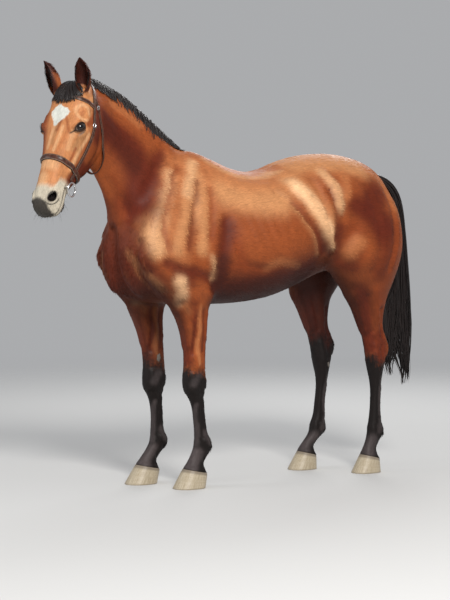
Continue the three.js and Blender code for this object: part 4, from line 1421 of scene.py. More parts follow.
for name, how in (("add", "ADD"), ("sub", "SUBTRACT"), ("mul", "MULTIPLY"), ("truediv", "DIVIDE"),
                  ("pow", "POWER")):
    setattr(Wire, f"__{name}__", lambda one, other, how=how: one.maths(how, one, other))
    setattr(Wire, f"__r{name}__", lambda one, other, how=how: one.maths(how, other, one))

# %% A material
class Paint:
    """One material, built round a Principled shader."""

    def __init__(self, name, **constants):
        self.material = bpy.data.materials.new(name)
        self.material.use_nodes = True
        self.tree = self.material.node_tree
        self.shader = self.tree.nodes["Principled BSDF"]
        self.set(**constants)

    def plug(self, socket, value):
        if isinstance(value, Wire):
            self.tree.links.new(value.socket, socket)
        else:
            socket.default_value = (*value, 1) if socket.type == "RGBA" and len(value) == 3 else value

    def set(self, **values):
        """Sets inputs of the shader, by names written with _ for a space."""
        for name, value in values.items():
            self.plug(self.shader.inputs[name.replace("_", " ")], value)

    def node(self, kind, settings=None, inputs=None, output=0):
        node = self.tree.nodes.new(kind)
        for name, value in (settings or {}).items():
            setattr(node, name, value)
        for name, value in (inputs or {}).items():
            self.plug(node.inputs[name], value)
        return Wire(self, node.outputs[output])

    def stored(self, name, output="Color"):
        """A colour, vector or number stored on the mesh."""
        return self.node("ShaderNodeAttribute", {"attribute_name": name}, output=output)

    def parts(self, vector):
        """A vector's x, y and z."""
        first = self.node("ShaderNodeSeparateXYZ", {}, {0: vector})
        return [Wire(self, k) for k in first.socket.node.outputs]

    def place(self):
        """The place on the object itself, in metres."""
        return self.node("ShaderNodeTexCoord", output="Object")

    def noise(self, vector, scale, detail, finer=(1, 1, 1)):
        """Noise, drawn out along the axes on which it is the least fine."""
        drawn = self.node("ShaderNodeVectorMath", {"operation": "MULTIPLY"}, {0: vector, 1: finer})
        inputs = {"Vector": drawn, "Scale": scale, "Detail": detail}
        return self.node("ShaderNodeTexNoise", {}, inputs, output="Fac")

    def ramp(self, value, low, high, to_low=0.0, to_high=1.0):
        inputs = {"Value": value, "From Min": low, "From Max": high, "To Min": to_low, "To Max": to_high}
        return self.node("ShaderNodeMapRange", {"interpolation_type": "SMOOTHSTEP"}, inputs)

    def blend(self, share, a, b, how="MIX"):
        """Colour b laid over colour a by a share."""
        node = self.tree.nodes.new("ShaderNodeMix")
        node.data_type, node.blend_type = "RGBA", how
        for name, value in (("Factor_Float", share), ("A_Color", a), ("B_Color", b)):
            self.plug(next(k for k in node.inputs if k.identifier == name), value)
        return Wire(self, next(k for k in node.outputs if k.identifier == "Result_Color"))

    def bump(self, height, distance, strength):
        inputs = {"Height": height, "Distance": distance, "Strength": strength}
        return self.node("ShaderNodeBump", {}, inputs, output="Normal")

# %% Dressing a piece
def store(mesh, name, vectors, domain="POINT"):
    """Vectors kept on a mesh under a name."""
    mesh.attributes.new(name, "FLOAT_VECTOR", domain).data.foreach_set("vector", np.ravel(vectors))


def dress(piece, paint, slot, nodes=(), colours=None):
    """Gives a piece its material and the colours of its points, and hides the CAD
    nodes it stands for. The slot is not used."""
    mesh = piece.data
    mesh.materials.clear()
    mesh.materials.append(paint.material)
    if colours is not None:
        layer = mesh.color_attributes.new("coat", "FLOAT_COLOR", "POINT")
        full = np.concatenate([np.clip(colours, 0, 1), np.ones((len(colours), 1))], axis=1)
        layer.data.foreach_set("color", full.ravel())
    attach(piece, "root")
    if nodes:
        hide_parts(*nodes)
    print(f"{piece.name}: {len(mesh.vertices)} points, {len(mesh.polygons)} faces")


# %% [markdown]
# Hair needs a direction as well as a colour. The body is unrolled into seven
# charts, each with a length along a part and a turn round it, which is how the
# coat lies; streaks are noise stretched along the chart. The same charts, laid
# side by side, are the unwrap that a tuft's colour is stored on.

# %% Charts
CHART_WIDTH = 1 / 7
PATCH = 0.003  # width of one tuft on the unwrap


def ridge(table, z):
    """The middle x of a leg at heights z."""
    mid = (table[::-1, :2] + table[::-1, 2:4]) / 2
    order = np.argsort(mid[:, 1])
    return np.interp(z, mid[order, 1], mid[order, 0])


NECK_MIDDLE, NECK_WAY = (-0.42, 1.35), (-0.76, 0.65)  # x, z, and the way along the neck
TRUNK_Z, FACE_V, LEG_Y = 1.25, -70, 0.14  # where the middles of a chart's parts lie, v in mm


def neck_axes(x, z):
    """How far along the neck, and how far towards its crest, a place lies."""
    x, z = x - NECK_MIDDLE[0], z - NECK_MIDDLE[1]
    return x * NECK_WAY[0] + z * NECK_WAY[1], x * NECK_WAY[1] - z * NECK_WAY[0]


def chart_of(p):
    """Which chart each place is on: trunk, neck, head, or one of four legs."""
    x, y, z = p.T
    u, _, v = head_axes(p)
    chart = np.zeros(len(p), int)
    chart[(neck_axes(x, z)[0] > 0.07 + 0.12 * smooth(1.5, 1.2, z)) & (x < -0.3) & (z > 1.1)] = 1
    chart[(u > -20) & (x < -0.8) & (v > -262)] = 2
    chart[(z < 0.93) & (x < 0.15)] = 3
    chart[(z < 1.02) & (x > 0.42)] = 5
    chart[(chart >= 3) & (y > 0)] += 1
    return chart


def rolled(p, chart):
    """For each place on its chart: the turn round the part in radians, the length
    along it in metres, and how far out from its middle it lies."""
    x, y, z = p.T
    u, _, v = head_axes(p)
    along, crest = neck_axes(x, z)
    foreleg, hindleg = ridge(FORELEG, z) - x, ridge(HINDLEG, z) - x
    across = np.select([chart == 0, chart == 1, chart == 2, chart <= 4],
                       [z - TRUNK_Z, crest, (v - FACE_V) / 1000, foreleg], hindleg)
    length = np.select([chart == 0, chart == 1, chart == 2], [x + 0.65, along + 0.2, u / 1000 + 0.05], z)
    side = y - LEG_Y * (chart >= 3) * np.where(chart % 2 == 1, -1, 1)
    return np.arctan2(side, across), length, hypot(side, across)


def unwrapped(p, chart, turn=None):
    """Places on the unwrap, from 0 to 1 across and up."""
    own_turn, length, _ = rolled(p, chart)
    turn = own_turn if turn is None else turn
    across = chart + 0.03 + 0.94 * (turn / (2 * pi) + 0.5)
    return stacked(CHART_WIDTH * across, 0.01 + 0.6 * length)

# %% The way of the hair
def way_of_hair(p, n):
    """The way the coat lies: back and down from a whorl on the forehead, and
    down each leg, kept in the plane of the skin."""
    x, y, z = p.T
    u, _, v = head_axes(p)
    on_neck = smooth(-0.25, -0.6, x)[:, None]
    on_head = (smooth(-0.8, -0.88, x) * smooth(-40, 20, u))[:, None]
    on_leg = smooth(1.00, 0.8, z)[:, None]
    way = mix(np.array([0.88, 0, -0.42]), np.array([0.45, 0, -0.85]), on_neck)
    apart = np.sign(y) * smooth(0, 0.03, abs(y))
    face = HEAD_U * np.where(u > 165, 1, -0.4)[:, None] + 0.5 * apart[:, None] * [0, 1, 0]
    way = mix(way, face, on_head)
    way = mix(way, np.array([0.12, 0, -1.0]), on_leg)
    return square_to(way + 0.16 * stacked(*(fuzz(p, 0.25, seed) for seed in (31, 32, 33))), n)


# %% [markdown]
# The hide's fine hairs are too many to model, so they are in its bump and
# colour: noise stretched along the charts. A chart's edge would smear a face
# that crosses it, so each corner is laid out on the chart of its face.

# %% Skin
hide = Paint("hide", Specular_IOR_Level=0.17)
flow, along_hair = hide.stored("flow", "Vector"), (1.0, 0.085, 1.0)
strands, locks = hide.noise(flow, 520, 3, along_hair), hide.noise(flow, 120, 2, along_hair)
tone = hide.ramp(strands, 0.3, 0.72, 0.8, 1.16) * hide.ramp(locks, 0.25, 0.75, 0.9, 1.08)
shade = hide.node("ShaderNodeCombineColor", {}, {"Red": tone, "Green": tone, "Blue": tone})
hide.set(Base_Color=hide.blend(1.0, hide.stored("coat"), shade, "MULTIPLY"),
         Roughness=hide.ramp(strands, 0.2, 0.8, 0.44, 0.62),
         Normal=hide.bump(strands * 0.7 + locks * 0.3, 0.0011, 0.55))

joined.vertices.foreach_set("co", stance(straight).ravel())
joined.shade_smooth()
joined.update()
loop_point = read(joined.loops, "vertex_index", int)
face_size = read(joined.polygons, "loop_total", int)
first_loop = np.repeat(np.cumsum(face_size) - face_size, face_size)
corner = straight[loop_point]
chart = chart_of(straight)[loop_point[first_loop]]
turn, length, radius = rolled(corner, chart)
turn = turn - 2 * pi * np.round((turn - turn[first_loop]) / (2 * pi))
uv = np.clip(unwrapped(corner, chart, turn), 0, 1)
joined.uv_layers.new(name="OFBake").data.foreach_set("uv", uv.ravel())
store(joined, "flow", stacked(turn * np.minimum(radius, 0.28), length, chart), "CORNER")
PAIRS = "ear", "foreleg_upper", "foreleg_lower", "hindleg_upper", "hindleg_lower"
FLESH = ["head", "neck", "trunk", *(f"{part}_{word}" for part in PAIRS for word in SIDES)]
dress(skin_piece, hide, "bay_coat", FLESH, skin_colour)
clock("skin")

# %% [markdown]
# ## Eyes
#
# A horse's eye is dark brown with a level, oblong pupil. The ball sits in the
# socket with its cornea just inside the lids, wet and glossy.

# %% Eyes
def eye_ball(rows=40, around=56):
    """A sphere round the origin whose pole looks out along the third axis, its
    cornea a slightly tighter dome: bulge = 0.0018 (1 - (r / 0.019)^2)^2."""
    t = np.linspace(0.02, 1, rows)[:, None] * pi
    w = circle(around)
    out = EYE_BALL * cos(t)
    flat = EYE_BALL * sin(t)
    dome = 0.0018 * np.clip(1 - (flat / 0.019) ** 2, 0, 1) ** 2 * (out > 0)
    return closed_tube(stacked(flat * cos(w), flat * sin(w), out + dome))

# %% Glass of the eye
glass = Paint("eye", Roughness=0.16, Coat_Weight=0.7, Coat_Roughness=0.02, IOR=1.36, Specular_IOR_Level=0.25)
gaze = glass.stored("gaze", "Vector")
x, y, _ = glass.parts(gaze)
iris_edge = ((x / 0.016) ** 2 + (y / 0.0145) ** 2) ** 0.5
pupil_edge = ((x / 0.011) ** 2 + (y / 0.0055) ** 2) ** 0.5
rays = glass.noise(gaze, 260, 3, (1, 1, 0))
brown = glass.blend(rays, (0.006, 0.0025, 0.0015), (0.026, 0.009, 0.0035))
colour = glass.blend(glass.ramp(iris_edge, 0.86, 1.02), brown, (0.01, 0.006, 0.005))
colour = glass.blend(glass.ramp(pupil_edge, 0.85, 1.1), (0.001, 0.001, 0.0015), colour)
glass.set(Base_Color=glass.blend(glass.ramp(iris_edge, 1.3, 1.5), colour, (0.16, 0.11, 0.085)))
for word, side in SIDES.items():
    centre, axes = eye_place(side)
    points, faces = eye_ball()
    eye = mesh_object(f"eye_ball_{word}", stance(centre + points @ axes), faces)
    store(eye.data, "gaze", points)
    dress(eye, glass, "eye", [f"eye_{word}"])

# %% [markdown]
# ## Hooves
#
# A hoof grows down from the coronet in slow rings, straight in its walls, and
# flares a little at the toe. Its sole is flat and its edge worn round.

# %% Hooves
def hoof_rings(leg, toe, heel, half_width, rows=30, around=72):
    """Rings from the coronet, leg's last section, down to a sole on the floor,
    grown out by faint waves, and the turn and height of each point, 0 to 1."""
    sole = at(toe, 0, heel, 0, half_width, leg[-1, 5] * 1000, 0.42, 2, 2.6)
    f = np.concatenate([[-0.05, 0.0], np.linspace(0.02, 0.97, rows), [0.985, 0.995, 1.0, 1.0, 1.0]])[:, None]
    grow = 0.0006 * sin(f * 70 + 2 * sin(f * 9)) * smooth(0.02, 0.2, f) * smooth(1.0, 0.9, f)
    grow = grow - 0.0015 * smooth(0.08, -0.02, f) - 0.0022 * smooth(0.97, 1.0, f)
    a = circle(around)
    grid = section_points(mix(leg[-1], sole, np.clip(f, 0, 1))[:, None, :], a, grow)
    grid[0, :, 2] += 0.006
    for k, share in ((-2, 0.6), (-1, 0.2)):
        grid[k] = mix(grid[k].mean(axis=0), grid[k], share)
    grid[-5:, :, 2] = np.maximum(grid[-5:, :, 2], 0)
    return grid, stacked(a, f, 0)

# %% Horn
horn = Paint("horn", Specular_IOR_Level=0.45)
wall = horn.stored("wall", "Vector")
fibres = horn.noise(wall, 3.2, 4, (14.0, 0.6, 1.0))
growth = horn.noise(wall, 1.6, 3, (0.5, 16.0, 1.0))
low = horn.parts(wall)[1]
colour = horn.blend(horn.ramp(fibres, 0.3, 0.7), (0.3, 0.235, 0.155), (0.5, 0.43, 0.31))
colour = horn.blend(horn.ramp(growth, 0.45, 0.75, 0.0, 0.35), colour, (0.62, 0.56, 0.44))
colour = horn.blend(horn.ramp(low, 0.16, 0.02, 0.0, 0.6), colour, (0.1, 0.075, 0.06))
colour = horn.blend(horn.ramp(low, 0.86, 1.0, 0.0, 0.35), colour, (0.16, 0.12, 0.085))
horn.set(Base_Color=colour, Roughness=horn.ramp(fibres, 0.2, 0.8, 0.34, 0.55),
         Normal=horn.bump(fibres * 0.5 + growth * 0.5, 0.0012, 0.5))
HOOVES = {"forehoof": (FORELEG, -379, -216, 65), "hindhoof": (HINDLEG, 690, 848, 61)}
for hoof, sizes in HOOVES.items():
    for word, side in SIDES.items():
        grid, wall = hoof_rings(*sizes)
        points, faces = closed_tube(grid * [1, -side, 1])
        points[-1, 2] = 0
        piece = mesh_object(f"{hoof}_horn_{word}", stance(points), faces)
        store(piece.data, "wall", np.concatenate([wall.reshape(-1, 3), wall[[0, -1], 0]]))
        dress(piece, horn, "hoof_horn", [f"{hoof}_{word}"])
clock("eyes and hooves")

# %% [markdown]
# ## The bridle
#
# Each strap is pulled tight over the coat: rays from inside the head find the
# skin along its path, and a band with rounded edges is laid on what they find.
# The noseband is padded down its middle, and all have a row of stitches.

# %% Straps
RAY = 0.26  # metres, from inside the head to beyond its skin


def where_out(origin, direction):
    """Where a ray from inside the body leaves its skin for good."""
    last = start = Vector(origin)
    direction = Vector(direction)
    for _ in range(6):
        hit, *_ = skin_tree.ray_cast(start, direction, RAY - (start - Vector(origin)).length)
        if hit is None:
            break
        last, start = hit, hit + direction * 1e-4
    return np.array(last)


def look(u, v, du, y, dv):
    """From u, v on the head's midline towards (du, y, dv)."""
    return head_point(u, 0, v), unit(du * HEAD_U + dv * HEAD_V + y * ACROSS)


def ahead_along(points, looped):
    return unit(np.roll(points, -1, 0) - np.roll(points, 1, 0) if looped else np.gradient(points, axis=0))


def lie(looks, width, looped, count):
    """A strap's middle, and its ways out and across, at even steps: halfway
    between the mean and the highest of what three rays across it find."""
    origins, outs = (np.array(k) for k in zip(*looks))
    hits = np.array([where_out(o, d) for o, d in looks])
    across = unit(np.cross(ahead_along(hits, looped), outs))
    edges = [np.array([where_out(o + k * width * c, d) for o, d, c in zip(origins, outs, across)])
             for k in (-0.42, 0, 0.42)]
    lifts = [((e - hits) * outs).sum(-1, keepdims=True) for e in edges]
    lift = (np.maximum.reduce(lifts) + np.mean(lifts, axis=0)) / 2
    table = np.concatenate([hits + lift * outs, outs, unit(edges[2] - edges[0])], axis=1)
    if looped:
        table = np.concatenate([table[-1:], table, table[:2]])
        dense = station(table, np.linspace(1, len(table) - 2, count + 1))[:-1]
    else:
        dense = station(table, np.linspace(0, len(table) - 1, count))
    return dense[:, :3], unit(dense[:, 3:6]), dense[:, 6:9]

# %% The mesh of a strap
placed = {}  # each strap's middle, ways, thickness and width


def looped_tube(grid):
    """Points and faces of a tube whose last ring meets its first."""
    return grid.reshape(-1, 3), ring_quads(*grid.shape[:2], looped=True).tolist()


def rounded(t, power=0.35):
    """A cosine or sine t swollen so that a circle of it is nearly a square."""
    return np.sign(t) * abs(t) ** power


def turn_out(piece):
    """Face normals recalculated outwards."""
    fix = bmesh.new()
    fix.from_mesh(piece.data)
    bmesh.ops.recalc_face_normals(fix, faces=fix.faces)
    fix.to_mesh(piece.data)
    fix.free()
    return piece


def strap_mesh(name, middle, out, across, side, high, along, thick, width, looped=False, nodes=()):
    """A section of places (side, high) carried along a strap's middle. Each point
    keeps how far along, across and up the strap it is."""
    grid = middle[:, None] + side[:, None] * across[:, None] + high[:, None] * out[:, None]
    mark = stacked(along[:, None], side / (width / 2), high / thick)
    points, faces = (looped_tube if looped else closed_tube)(grid)
    piece = turn_out(mesh_object(name, stance(points), faces))
    store(piece.data, "mark", np.concatenate([mark.reshape(-1, 3), mark[[0, -1], 0]])[:len(points)])
    dress(piece, leather, "leather", nodes)


def band(name, looks, width, thick=0.0042, pad=0.0, looped=False, count=120, nodes=()):
    """A strap: its section is a rounded bar sunk a little in the coat."""
    middle, out, across = lie(looks, width, looped, count)
    ahead = ahead_along(middle, looped)
    out = square_to(out, ahead)
    lean = 0.5 * (across * out).sum(-1, keepdims=True) * out
    across = unit(across - (across * ahead).sum(-1, keepdims=True) * ahead - lean)
    w = circle(20)
    side, top = rounded(cos(w)) * width / 2, rounded(sin(w))
    high = np.where(top > 0, top * thick, top * 0.003) + pad * hump(side, 0, width * 0.42) * (top > 0)
    along = np.cumsum(np.linalg.norm(np.diff(middle, axis=0, prepend=middle[:1]), axis=-1))
    strap_mesh(name, middle, out, across, side, high, along, thick, width, looped, nodes)
    placed[name] = middle, out, across, thick + pad, width

# %% Leather
leather = Paint("leather", Specular_IOR_Level=0.32, Coat_Weight=0.1, Coat_Roughness=0.22)
STITCHES, STITCH_ROW = 1400, 0.74  # radians of their wave to the metre; how far out they run
mark = leather.stored("mark", "Vector")
along, off, high = leather.parts(mark)
from_row = abs(abs(off) - STITCH_ROW)
dash = leather.ramp((along * STITCHES).maths("SINE", along * STITCHES, 0), -0.1, 0.4)
stitch = dash * leather.ramp(from_row, 0.075, 0.045) * leather.ramp(high, 0.5, 0.9)
wear = leather.noise(mark, 90, 4, (1.0, 0.012, 0.004))
grain = leather.noise(mark, 700, 2, (1, 0.01, 0.003))
colour = leather.blend(leather.ramp(wear, 0.3, 0.75), (0.03, 0.009, 0.005), (0.1, 0.03, 0.014))
colour = leather.blend(leather.ramp(abs(off), 0.86, 0.98), colour, (0.012, 0.006, 0.004))
relief = stitch * 0.5 + grain * 0.25 - leather.ramp(from_row, 0.16, 0.06) * 0.4
leather.set(Base_Color=leather.blend(stitch, colour, (0.44, 0.36, 0.26)),
            Roughness=leather.ramp(wear, 0.2, 0.8, 0.36, 0.52), Normal=leather.bump(relief, 0.0007, 0.8))

# %% All the straps but one
band("strap_crown", [look(66, -70, -cos(a), sin(a), mix(-0.02, -0.16, cos(a)))
                     for a in np.linspace(-84, 84, 15) * RAD], 0.022, nodes=["crownpiece"])
band("strap_brow", [look(104, -42, 0, sin(a), cos(a)) for a in np.linspace(-105, 105, 17) * RAD],
     0.02, pad=0.0012, nodes=["browband"])
CHEEK_LINE = [(56, -72), (104, -76), (160, -84), (230, -92), (300, -96), (370, -94), (430, -88), (472, -80)]
for word, side in SIDES.items():
    band(f"strap_cheek_{word}", [look(u, v, 0, side, 0) for u, v in CHEEK_LINE], 0.017, thick=0.0046,
         nodes=[f"cheekpiece_{word}"])
band("strap_nose", [look(mix(400, 436, (1 - cos(a)) / 2), -58, 0, sin(a), cos(a))
                    for a in pi + circle(26)], 0.027, thick=0.005, pad=0.0035, looped=True,
     count=180, nodes=["noseband"])
clock("straps")

# %% [markdown]
# The throatlatch is the one strap that hangs free: it lies on the jowl at each
# side and swings under the throat, so the rays stop at its slack part.

# %% Throatlatch
def throat_half(side):
    """Places and ways out from the crown down one side, and on under the throat."""
    jowl = [look(u, v, 0, side, 0) for u, v in ((58, -84), (84, -104), (130, -150), (178, -194), (226, -232))]
    return [(where_out(o, d), d) for o, d in jowl] + [
        (head_point(u, side * y, v), unit(0.5 * HEAD_U - HEAD_V + np.array([0, side * 1.2, 0])))
        for u, y, v in ((276, 60, -268), (320, 36, -288))]


hanging = throat_half(-1) + [(head_point(336, 0, -294), unit(HEAD_U - HEAD_V))] + throat_half(1)[::-1]
path = station(np.array([np.concatenate(k) for k in hanging]), np.linspace(0, len(hanging) - 1, 110))
middle = path[:, :3]
ahead = ahead_along(middle, False)
out = square_to(unit(path[:, 3:]), ahead)
across, w = np.cross(ahead, out), circle(16)
THROAT_WIDTH, THROAT_THICK, THROAT_LENGTH = 0.014, 0.0044, 1.1
side, high = rounded(cos(w)) * THROAT_WIDTH / 2, (rounded(sin(w)) + 1) * THROAT_THICK / 2
strap_mesh("strap_throat", middle, out, across, side, high, np.linspace(0, THROAT_LENGTH, len(middle)),
           THROAT_THICK, THROAT_WIDTH, nodes=["throatlatch"])
placed["strap_throat"] = middle, out, across, THROAT_THICK, THROAT_WIDTH

# %% [markdown]
# The bit is a loose-ring snaffle: a round wire ring, and the end of the
# mouthpiece, which runs in at the corner of the lips.

# %% Bit
def round_tube(middle, a, b, radii, around):
    """Rings of points round a path, in the directions a and b."""
    w = circle(around)[:, None]
    return middle[:, None] + radii * (cos(w) * a[:, None] + sin(w) * b[:, None])


def bar_along(points, radii, around):
    """A round bar along a path of points."""
    ahead = unit(np.gradient(points, axis=0))
    up = unit(np.cross(ahead, [0.3, 0.2, 0.93]))
    return closed_tube(round_tube(points, up, np.cross(ahead, up), np.asarray(radii)[:, None, None], around))


def merged(parts):
    """Several lists of points and faces as one."""
    points, faces, base = [], [], 0
    for p, f in parts:
        points.append(p)
        faces += [[k + base for k in face] for face in f]
        base += len(p)
    return np.concatenate(points), faces

# %% Rings of the bit
BIT_PLACE = 510, 76, -90  # u, y, v of the ring's middle
RING_REACH, RING_WIRE = 0.0318, 0.0042  # radius of the ring and of its wire
RING_TILT = -8 * RAD
LIPS_V = -58.2  # v of the corner of the lips
steel = Paint("steel", Base_Color=(0.62, 0.62, 0.63), Metallic=1.0)
steel.set(Roughness=steel.ramp(steel.noise(steel.place(), 90, 3), 0.3, 0.7, 0.15, 0.29),
          Normal=steel.bump(steel.noise(steel.place(), 700, 2), 0.0001, 0.4))
for word, side in SIDES.items():
    out = side * cos(RING_TILT) * ACROSS + sin(RING_TILT) * HEAD_V
    a = circle(72)[:, None]
    spoke = cos(a) * HEAD_U + sin(a) * np.cross(out, HEAD_U)
    wire = round_tube(on_side(BIT_PLACE, side) + RING_REACH * spoke, spoke, out + 0 * spoke, RING_WIRE, 16)
    bar_y = np.concatenate([[81], np.linspace(80, 66, 8), np.linspace(64, 36, 12)])
    thick = np.concatenate([[0.0035], np.full(8, 0.0066), np.linspace(0.0064, 0.0085, 12)])
    mouthpiece = head_point(BIT_PLACE[0], side * bar_y, LIPS_V)
    points, faces = merged([looped_tube(wire), bar_along(mouthpiece, thick, 20)])
    dress(turn_out(mesh_object(f"bit_{word}", stance(points), faces)), steel, "steel", [f"bit_ring_{word}"])

# %% [markdown]
# Each cheekpiece has a buckle above the eye, with a keeper under it, and two
# keepers where it folds round the ring. The throatlatch buckles on the left.

# %% Buckles and keepers
def on_strap(name, share):
    """A place on a strap's outer face, its axes (across, along, out), and its width."""
    middle, out, across, thick, width = placed[name]
    k = int(share * (len(middle) - 1))
    n = unit(out[k])
    a = unit(np.cross(n, across[k]))
    return middle[k] + thick * n, np.array([np.cross(a, n), a, n]), width


def buckle(name, share, half=0.0088, wire=0.0015):
    """A rounded square of wire, |x/a|^5 + |y/b|^5 = 1, bowed over its strap, and its tongue."""
    centre, axes, width = on_strap(name, share)
    t, up = circle(64), np.array([[0, 0, 1.0]])
    x, y = rounded(cos(t), 0.4), rounded(sin(t), 0.4)
    path = stacked(x * (width / 2 + 0.0024), y * half, 0.001 - 0.0012 * x * x)
    grid = round_tube(path, np.cross(ahead_along(path, True), up), up, wire, 12)
    s = np.linspace(-1, 1, 12)
    tongue = stacked(0, s * (half + 0.0012), 0.0022 + 0.0008 * (1 - s * s))
    return looped_tube(centre + grid @ axes), bar_along(centre + tongue @ axes, np.full(12, 0.0011), 10)


def keeper(name, share, wide=0.004, deep=0.0011):
    """A loop of leather over a strap."""
    centre, axes, width = on_strap(name, share)
    s, w = np.linspace(-1, 1, 24)[:, None], circle(16)
    high = -0.006 * smooth(0.8, 1.0, abs(s)) + 0.0008 + sin(w) * deep
    local = stacked(s * (width / 2 + 0.0016), rounded(cos(w), 0.4) * wide, high)
    return closed_tube(centre + local @ axes)


metal, loops = [], []
for word in SIDES:
    metal += buckle(f"strap_cheek_{word}", 0.36)
    loops += [keeper(f"strap_cheek_{word}", share) for share in (0.395, 0.44, 0.885, 0.93)]
metal += buckle("strap_throat", 0.085, half=0.0075)
loops += [keeper("strap_throat", 0.105)]
for name, parts, paint, slot in (("buckles", metal, steel, "steel"),
                                 ("strap_keepers", loops, leather, "leather")):
    points, faces = merged(parts)
    piece = turn_out(mesh_object(name, stance(points), faces))
    store(piece.data, "mark", np.tile([0.0, 0.0, 1.0], (len(points), 1)))
    dress(piece, paint, slot)
clock("bridle")

# %% [markdown]
# ## Long hair
#
# Mane, forelock and tail are locks: each a flat, tapering strand that follows
# a path worked out from the sections of the body, with a little wander and
# wave of its own. All the locks of one piece are made in one go.

# %% Locks
def locks_mesh(paths, widths, outs, flatness, around):
    """Closed tapering strands: their points, strand by strand, and triangles. paths
    is (locks, rows, 3), widths (locks, rows) and outs the way each faces."""
    ahead = unit(np.gradient(paths, axis=1))
    outs = square_to(outs, ahead)
    across = np.cross(ahead, outs)
    w = circle(around)
    grid = (paths[:, :, None] + widths[..., None, None] * (cos(w)[:, None] * across[:, :, None]
            + flatness * sin(w)[:, None] * outs[:, :, None]))
    points = np.concatenate([grid.reshape(len(paths), -1, 3), paths[:, [0, -1]]], axis=1)
    return points, tube_triangles(paths.shape[1], around)


def copies(name, points, tris, roots):
    """One mesh of many closed pieces of one make, points (pieces, points, 3). For
    OFBake, each piece's points are on a circle at its root's place on the unwrap."""
    count, size = points.shape[:2]
    if inside_out(points[0], tris):
        tris = tris[:, ::-1]
    tris = (tris[None] + size * np.arange(count)[:, None, None]).reshape(-1, 3)
    mesh = bpy.data.meshes.new(name)
    mesh.vertices.add(count * size)
    mesh.vertices.foreach_set("co", stance(points.reshape(-1, 3)).astype(np.float32).ravel())
    mesh.loops.add(tris.size)
    mesh.loops.foreach_set("vertex_index", tris.astype(np.int32).ravel())
    mesh.polygons.add(len(tris))
    mesh.polygons.foreach_set("loop_start", np.arange(0, tris.size, 3, dtype=np.int32))
    mesh.shade_smooth()
    mesh.update(calc_edges=True)
    patch = PATCH / 2 * stacked(cos(circle(size)), sin(circle(size)))
    uv = np.clip((unwrapped(roots, chart_of(roots))[:, None] + patch).reshape(-1, 2), 0, 1)
    mesh.uv_layers.new(name="OFBake").data.foreach_set("uv", uv[tris.ravel()].ravel())
    return new_object(name, mesh)


def hair_piece(name, paths, widths, outs, nodes=(), flatness=0.35, around=6):
    """A piece of many strands, whose points keep how far along and round their
    strand they are, and a number of the strand's own."""
    count, rows = widths.shape
    piece = copies(name, *locks_mesh(paths, widths, outs, flatness, around), paths[:, 0])
    f = np.concatenate([np.repeat(np.linspace(0, 1, rows), around), [0, 1]])
    w = np.concatenate([np.tile(np.arange(around) / around, rows), [0, 0]])
    strand = stacked(np.tile(f, count), np.tile(w, count), np.repeat(rng.random(count), len(f)))
    store(piece.data, "strand", strand)
    dress(piece, hair, "black_hair", nodes)


def wandering(count, rows, size, seed):
    """A soft sideways drift for each lock, nothing at its root."""
    own = np.random.default_rng(seed)
    s = np.linspace(0, 1, rows)
    phase, bends = own.uniform(0, 2 * pi, (count, 1)), own.uniform(0.6, 2.2, (count, 1))
    wave = 0.5 * size * sin(phase + bends * 2 * pi * s) * s
    return size * own.normal(size=(count, 1)) * s + wave


def arched(s, low, high, power):
    """A sine's arch over s, from low to high in half turns."""
    return np.clip(sin(pi * mix(low, high, s)), 0.02, 1) ** power

# %% Hair
hair = Paint("hair", Roughness=0.36, Specular_IOR_Level=0.27, Anisotropic=0.4)
strand = hair.stored("strand", "Vector")
fine = hair.noise(strand, 1.6, 3, (1.4, 34.0, 90.0))
own = hair.parts(strand)[2]
dark = hair.blend(hair.ramp(fine, 0.3, 0.75), (0.006, 0.0046, 0.0046), (0.024, 0.018, 0.017))
hair.set(Base_Color=hair.blend(own * 0.45, dark, (0.017, 0.01, 0.009)),
         Roughness=hair.ramp(fine, 0.2, 0.8, 0.3, 0.48), Normal=hair.bump(fine, 0.0008, 0.6))


def section_path(table, rows_at, angles, lift):
    """Places on the sections of a table, at rows and angles that are arrays of
    one shape, standing `lift` off it."""
    st = station(table, rows_at.ravel())
    p, q = (section_points(st, angles.ravel(), lift.ravel() + more) for more in (0, 0.01))
    return p.reshape(*rows_at.shape, 3), unit(q - p).reshape(*rows_at.shape, 3)


# %% [markdown]
# The mane's locks start along the crest of the neck and hang down the right
# side in the main, the near side's being shorter. The last lie over the
# withers, so whatever the fuller trunk would bury is lifted out of it.

# %% Mane
def mane(count, side, down, lift, seed, rows=13):
    """Locks down one side, to angles within down, standing up to lift off it."""
    own = np.random.default_rng(seed)
    s = np.linspace(0, 1, rows)[None]
    f = own.random((count, 1))
    row = mix(0.55, 7.35, f)
    low = mix(down[0], down[1], sin(pi * mix(0.12, 0.8, f))) * mix(0.16, 1.0, smooth(0.0, 0.34, f))
    low = low * own.uniform(0.55, 1.06, (count, 1))
    start = own.uniform(-1, 1, (count, 1)) * mix(2, 5, smooth(0.0, 0.2, f))
    angle = (mix(start, low, s ** 0.9) + wandering(count, rows, 1.3, seed + 1)) * side
    swept = 0.32 * s * own.uniform(0.3, 1.5, (count, 1)) * mix(0.5, 1.0, smooth(0.0, 0.2, f))
    rows_at = row - swept + wandering(count, rows, 0.1, seed + 2)
    height = mix(0.002, lift, own.random((count, 1)) ** 0.8)
    height = height * sin(pi * np.clip(s * 1.2 + 0.12, 0, 1)) ** 0.6
    p, out = section_path(NECK, np.clip(rows_at, 0.2, 7.9), angle * RAD, height + 0.001)
    for _ in range(2):
        buried = np.maximum(0.001 + 0.004 * s - proud(p), 0)
        p = p + (buried * smooth(2.9, 2.3, rows_at))[..., None] * out
    width = own.uniform(0.0035, 0.0075, (count, 1)) * arched(s, 0.1, 0.98, 0.7)
    return p, width, out


